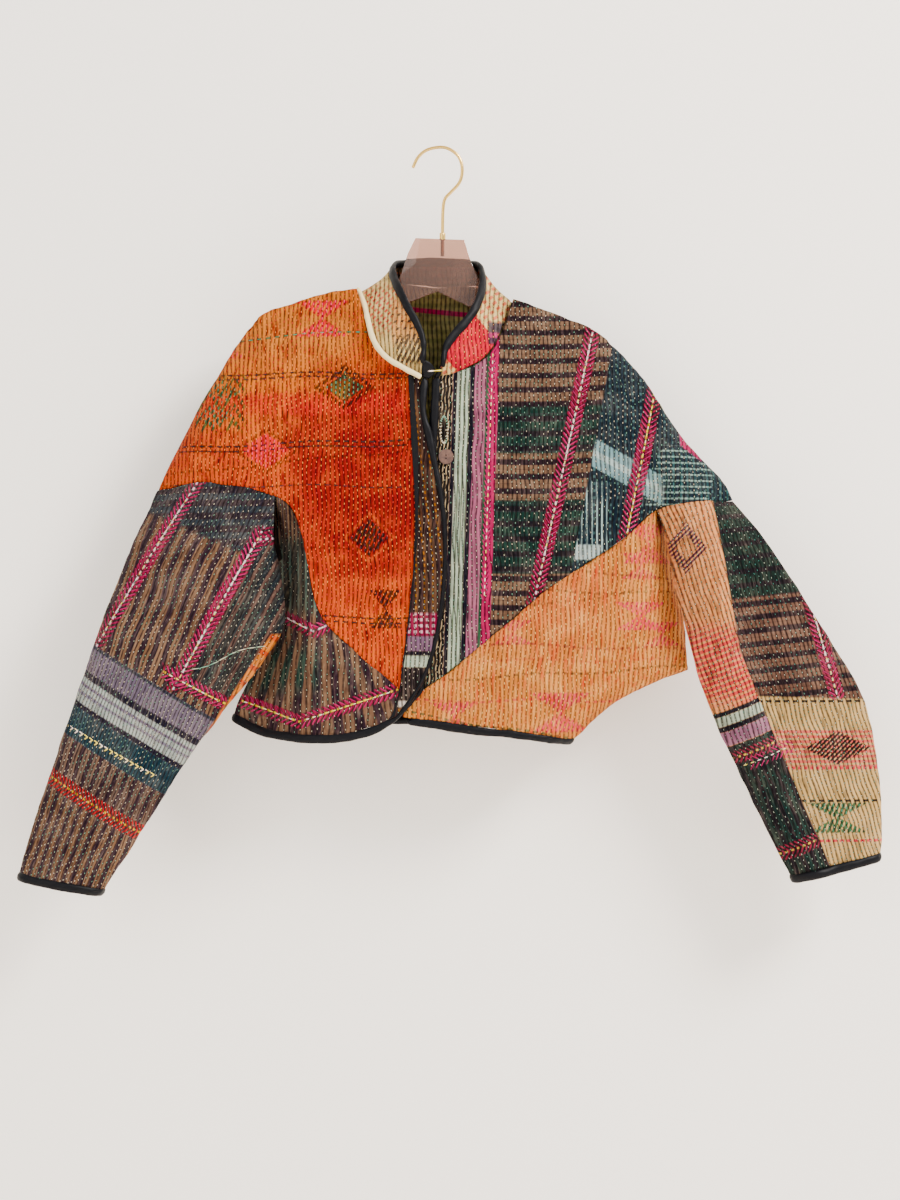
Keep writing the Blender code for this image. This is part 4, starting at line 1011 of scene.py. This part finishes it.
black = sateen("black_sateen", (4, 4, 8), 0.46)
cord_cloth = sateen("piping_cloth", (226, 204, 150), 0.8)
TRIMS = {name: trim(name, "black", black) for name in
         ("collar_binding", "right_front_binding", "left_front_binding", "left_hem_binding",
          "left_cuff_binding", "right_cuff_binding")}
TRIMS["front_tape"] = trim("front_tape", "black", black, levels=1, swell=0.0)
TRIMS["collar_piping"] = trim("collar_piping", "cream", cord_cloth)
print("trims:", len(TRIMS))

# %% [markdown]
# ## The hanger and the button
#
# The plate is cast acrylic, clear but smoked to a rose brown, with polished edges. The hook is brass wire.


# %% Hanger
smoke = Maker("rose_acrylic")
smoke.set(Base_Color=rgb(188, 142, 122), Roughness=0.05, IOR=1.49, Transmission_Weight=0.9)
brass = Maker("brass_wire")
scratches = brass.noise(900.0, 2.0)
brass.set(Base_Color=brass.mix((scratches - 0.4).higher(0.0), rgb(226, 186, 104), rgb(176, 136, 70)),
          Metallic=1.0, Roughness=scratches * 0.15 + 0.16)


def bevelled(name, node, slot, material, width, segments=3):
    """A copy of a hard node with its sharp edges softened."""
    bm = bmesh.new()
    bm.from_mesh(nodes[node].data)
    bmesh.ops.remove_doubles(bm, verts=bm.verts, dist=0.00001)
    bmesh.ops.dissolve_limit(bm, angle_limit=0.02, verts=bm.verts, edges=bm.edges)
    sharp = [e for e in bm.edges if e.is_manifold and e.calc_face_angle(0) > 0.7]
    bmesh.ops.bevel(bm, geom=sharp, offset=width, affect="EDGES", segments=segments, profile=0.5, material=-1,
                    clamp_overlap=True)
    bmesh.ops.triangulate(bm, faces=[f for f in bm.faces if len(f.verts) > 4])
    mesh = bpy.data.meshes.new(name)
    bm.to_mesh(mesh)
    bm.free()
    return finish_piece(name, mesh, node, slot, material)


bevelled("clear_plate", "hanger_plate", "rose_acrylic", smoke.material, 0.0009)
trim("hanger_hook", "brass", brass.material, levels=1, longest=1.0, pucker=0.0, swell=0.0001)

FERRULE_RADIUS, FERRULE_LENGTH, FERRULE_PLACE = 0.0034, 0.008, (0.006, 0, -0.097)
bm = bmesh.new()
bmesh.ops.create_cone(bm, cap_ends=True, segments=32, radius1=FERRULE_RADIUS, radius2=FERRULE_RADIUS,
                      depth=FERRULE_LENGTH)
rims = [e for e in bm.edges if e.calc_face_angle(0) > 0.7]
bmesh.ops.bevel(bm, geom=rims, offset=0.0006, affect="EDGES", segments=3, profile=0.5, material=-1)
bmesh.ops.translate(bm, verts=bm.verts, vec=FERRULE_PLACE)
mesh = bpy.data.meshes.new("hook_collar")
bm.to_mesh(mesh)
bm.free()
finish_piece("hook_collar", mesh, None, "brass", brass.material)
print("the hanger is made")

# %% [markdown]
# ## The button
#
# The button is turned from horn: streaky inside, softened at its edge and a little polished.

# %% Button
horn = Maker("horn")
grain = horn.noise(260.0, 5.0)
horn.set(Base_Color=horn.mix((grain - 0.35).higher(0.0) * 2.2, rgb(66, 42, 34), rgb(104, 72, 58)),
         Roughness=0.35, Coat_Weight=0.2)
bevelled("turned_button", "button", "horn", horn.material, 0.0005)
print("the button is made")

# %% [markdown]
# ## Embroidery
#
# The bands, the dashed lines and the buttonhole are sewn with thicker thread that stands on the cloth. Each
# stitch is given by its two ends in the picture. A ray from the front finds where they lie on the panel,
# and a stitch that misses it is left out.


# %% Stitches from their ends
def sew(name, node, ends, thread_material, half_width=0.0006, lift=0.0):
    """Thick stitches on the front of one panel, from rows of (across, down, across, down)."""
    mesh = CLOTH[node].data
    surface = BVHTree.FromPolygons([v.co for v in mesh.vertices], [p.vertices for p in mesh.polygons])
    places, runs, normals = [], [], []
    for first_u, first_v, last_u, last_v in ends:
        hits = []
        for across, down in ((first_u, first_v), (last_u, last_v)):
            x, z = place(across, down)
            hits.append(surface.ray_cast(Vector((x, -1, z)), Vector((0, 1, 0))))
        (start, up, _, _), (end, other, _, _) = hits
        if start is None or end is None or abs(start.y - end.y) > 0.012:
            continue
        normal = (up + other).normalized()
        if normal.y > -0.15:
            continue
        places.append((start + end) / 2 + normal * lift)
        runs.append((end - start) / 2)
        normals.append(normal)
    made = threads(name, np.array(places), np.array(runs), np.array(normals), half_width, half_width * 1.1)
    piece = finish_piece(name, made, None, SLOT_OF[node], thread_material)
    STITCHED[node].append(piece)
    print(name, len(places), "stitches")


def feather(first, last, width, pitch=5.4):
    """Chevrons along a band that runs down from its first to its last place."""
    rows = Rows(first, last)
    ends = []
    for k in range(int(rows.length / pitch)):
        run = (k + 0.5) * pitch
        for side in (-1, 1):
            inner = across_line(rows, run + pitch * 0.8, side * 0.8)
            outer = across_line(rows, run - pitch * 0.5, side * width / 2)
            ends.append((*inner, *outer))
    return ends


def centre_row(first, last, pitch=7.0, length=4.0):
    rows = Rows(first, last)
    return [(*across_line(rows, k * pitch, 0.0), *across_line(rows, k * pitch + length, 0.0))
            for k in range(1, int(rows.length / pitch))]


def across_line(rows, run, beside):
    """The place in the picture that lies so far along and beside a line."""
    return rows.x + rows.ax * run + rows.ay * beside, rows.y + rows.ay * run - rows.ax * beside


def level_dashes(start, stop, height, slope=0.0, pitch=9.0, length=5.6):
    """A dashed line across the right front, at the same wavering height as its paint."""
    ends = []
    for k in range(int((stop - start) / pitch)):
        pair = []
        for across in (start + k * pitch, start + k * pitch + length):
            pair += [across, height - (across - 300) * slope - math.sin(across * 0.045) * 1.6]
        ends.append(tuple(pair))
    return ends


SLOT_OF = {"right_front": "saffron", "left_side_panel": "saffron"}
SLOT_OF.update({name: "stripe" for name in CLOTH if name not in ("right_front", "left_side_panel", "collar")})
BRIGHT = thread("magenta_thread", (134, 0, 64), (156, 4, 80))
YELLOW = thread("yellow_thread", (226, 200, 80), (236, 214, 200))
DARK = thread("dark_thread", (26, 16, 22), (54, 28, 32))
LEAF = thread("green_thread", (34, 96, 66), (60, 120, 92))
ROSE = thread("rose_thread", (206, 16, 70), (214, 40, 80))

# %% [markdown]
# ## Bands, lines and motifs
#
# Feather stitch hides the seams between patches: slanting stitches that open in pairs, with a row of short
# ones down their middle. Darning fills a diamond or an hourglass with short upright stitches.

# %% Bands of feather stitch
BANDS = {
    "left_front": [((596, 318), (536, 590), 16), ((657, 385), (612, 600), 17), ((493, 340), (484, 600), 8)],
    "right_sleeve_front": [band[:3] for band in ARM_BANDS],
    "right_side_panel": [((283, 617), (315, 631), 15), ((315, 631), (340, 620), 15),
                         ((236, 700), (300, 721), 15), ((300, 721), (398, 689), 15)],
    "left_sleeve_front": [((806, 590), (838, 700), 16), ((737, 768), (795, 744), 15)],
}
for node, bands in BANDS.items():
    sew("feather_stitch_" + node, node, [end for band_ends in bands for end in feather(*band_ends)], BRIGHT)
    sew("centre_stitch_" + node, node, [end for first, last, _ in bands for end in centre_row(first, last)],
        YELLOW, 0.0005, 0.0004)

# %% Dashed lines and motifs
pairs = []
for height, slope in ((374, 0.0), (378.5, 0.0), (444, 0.035), (449, 0.035), (617, 0.0), (622, 0.0),
                      (487, 0.0)):
    pairs += level_dashes(172, 412, height, slope)
sew("dark_dashes", "right_front", pairs, DARK)
sew("green_dashes", "right_front", level_dashes(220, 395, 335, 0.06), LEAF)


def darning(across, down, half_width, half_height, kind="diamond", gap=4.4, length=5.0):
    """Short upright stitches that fill a diamond or an hourglass, in staggered columns."""
    ends = []
    for i in range(int(-half_width / gap), int(half_width / gap) + 1):
        share = abs(i * gap) / half_width
        for j in range(int(-half_height / length) - 1, int(half_height / length) + 2):
            height = (j + 0.5 * (i % 2)) * length
            level = abs(height) / half_height
            held = share + level < 1.0 if kind == "diamond" else share <= level < 1.0
            if held:
                x, y, half = across + i * gap, down + height, length * 0.36
                ends.append((x, y - half, x, y + half))
    return ends


MOTIFS = (
    ("rose_darning", "right_front", ROSE,
     ((322, 318, 26, 18, "hourglass"), (267, 452, 24, 17), (232, 346, 13, 12, "hourglass"))),
    ("green_darning", "right_front", LEAF, ((345, 388, 20, 16), (222, 392, 24, 14), (214, 416, 22, 12))),
    ("dark_darning", "right_front", DARK, ((370, 538, 19, 19), (386, 609, 15, 19, "hourglass"))),
    ("rose_darning_side", "left_side_panel", ROSE,
     [(*HOURGLASSES[k], "hourglass") for k in (0, 2, 4, 5)]),
    ("dark_darning_sleeve", "left_sleeve_front", DARK, ((838, 748, 32, 16),)),
    ("green_darning_sleeve", "left_sleeve_front", LEAF, ((838, 818, 28, 14, "hourglass"),)),
)
for name, node, colour, motifs in MOTIFS:
    sew(name, node, [stitch for motif in motifs for stitch in darning(*motif)], colour)
chain = []
for k in range(18):
    across = 68 + k * 5.0
    down = 721 + k * 2.9
    chain += [(across, down, across + 4.4, down + 3.4), (across, down + 5.2, across + 4.4, down + 2.6)]
sew("yellow_chain", "right_sleeve_front", chain, YELLOW)

# %% [markdown]
# ## Small things at the opening
#
# The buttonhole is sewn round with close stitches. A cord of binding runs on from the collar's edge to each
# front edge, and a white thread ties the two ends together. One long thread has come loose on the sleeve.

# %% Buttonhole, tie and loose thread
slit = []
for k in range(26):
    turn = k / 26 * 2 * math.pi
    u, v = 444 + 2.4 * math.cos(turn), 431 + 12 * math.sin(turn)
    slit.append((u, v, 444 + 5.0 * math.cos(turn), 431 + 14.5 * math.sin(turn)))
sew("buttonhole_stitch", "left_front", slit, PALE, 0.0004)
sew("loose_thread", "right_sleeve_front", [(195 + 9 * k, 668 - 3.1 * k + 2.4 * math.sin(k * 0.9), 205 + 9 * k,
                                            665 - 3.1 * k + 2.4 * math.sin(k * 0.9 + 0.9)) for k in range(8)],
    PALE, 0.0004, 0.0008)


def joined(name, node, other, near):
    """The turn of a binding that runs on from one node to the next: a short solid between their end rings."""
    rings = []
    for n in (node, other):
        points = sorted({tuple(round(c, 6) for c in v.co) for v in nodes[n].data.vertices},
                        key=lambda p: (Vector(p) - near).length)
        rings += points[:8]
    bm = bmesh.new()
    for point in rings:
        bm.verts.new(point)
    hull = bmesh.ops.convex_hull(bm, input=bm.verts)
    buried = [v for v in hull["geom_interior"] if isinstance(v, bmesh.types.BMVert)]
    bmesh.ops.delete(bm, geom=buried, context="VERTS")
    mesh = rounded(name, bm, 2)
    return finish_piece(name, mesh, None, "black", black)


def in_space(across, down, depth):
    """A point given in picture units and a depth in metres."""
    x, z = place(across, down)
    return Vector((x, depth, z))


TURNS = [joined("binding_turn_right", "collar_binding", "right_front_binding", in_space(424, 370, -0.04)),
         joined("binding_turn_left", "collar_binding", "left_front_binding", in_space(441, 372, -0.04))]

heights = [max(-v.co.y for v in turn.data.vertices) for turn in TURNS]
first, last = (in_space(across, down, -height - 0.0004)
               for (across, down), height in zip(((428, 373.5), (443, 372.5)), heights))
crossed = np.array([(0, 0, 0.0006), (0, 0, -0.0004)])
tie = threads("thread_tie", np.array([(first + last) / 2] * 2), np.array([(last - first) / 2] * 2) + crossed,
              np.array([(0.0, -1.0, 0.0)] * 2), 0.0005, 0.0006)
TURNS.append(finish_piece("thread_tie", tie, None, "cream", YELLOW))
print("turns and tie:", len(TURNS))

# %% [markdown]
# ## Under the arm
#
# Where four seams come together, a folded allowance lies on the inside. It is too small for the frame, and
# without it light comes through the corner, so a small folded piece is laid behind it.


# %% Under the arm
def gusset(name, material, corners, depth):
    """The folded seam allowance behind the place where the sleeve, the side and the front come together."""
    bm = bmesh.new()
    front_face = [bm.verts.new(in_space(across, down, depth)) for across, down in corners]
    bmesh.ops.extrude_face_region(bm, geom=[bm.faces.new(front_face)])
    bm.verts.ensure_lookup_table()
    bmesh.ops.translate(bm, verts=bm.verts[len(corners):], vec=(0, 0.0022, 0))
    bmesh.ops.recalc_face_normals(bm, faces=bm.faces)
    return finish_piece(name, rounded(name, bm, 2), None, "stripe", material)


UNDER_ARM = [(266, 505), (286, 505), (286, 566), (268, 566)]
GUSSETS = {"right_side_panel": gusset("allowance_right", side.material, UNDER_ARM, -0.002)}
print("seam allowance:", len(GUSSETS["right_side_panel"].data.polygons), "faces")

# %% [markdown]
# ## What each panel was cut to
#
# The panels hang from the hanger and from each other. Their flat sizes are those of the cut: width, length
# and area, in metres and square metres.

# %% Sheets
SHEETS = {
    "right_front": (0.30, 0.40, 0.073, ["hanger_plate"], ["front_tape"]),
    "right_front_band": (0.035, 0.38, 0.009, ["quilted_right_front"], ["right_front_binding"]),
    "left_front": (0.28, 0.45, 0.082, ["hanger_plate"], ["left_front_binding"]),
    "back": (0.56, 0.52, 0.176, ["hanger_plate"], []),
    "right_side_panel": (0.30, 0.30, 0.058, ["quilted_right_front", "quilted_back"], []),
    "left_side_panel": (0.40, 0.36, 0.088, ["quilted_left_front", "quilted_back"], ["left_hem_binding"]),
    "right_sleeve_front": (0.22, 0.48, 0.080, ["quilted_right_front"], ["right_cuff_binding"]),
    "right_sleeve_back": (0.22, 0.48, 0.081, ["quilted_back"], []),
    "left_sleeve_front": (0.20, 0.44, 0.065, ["quilted_left_front"], ["left_cuff_binding"]),
    "left_sleeve_back": (0.20, 0.44, 0.069, ["quilted_back"], []),
    "collar": (0.34, 0.075, 0.016, ["quilted_back"], ["collar_binding", "collar_piping"]),
}
for node, (width, length, area, held_by, trims) in SHEETS.items():
    going_with = STITCHED[node] + [TRIMS[name] for name in trims] + (TURNS if node == "collar" else [])
    going_with += [GUSSETS[node]] if node in GUSSETS else []
print("sheets:", len(SHEETS))
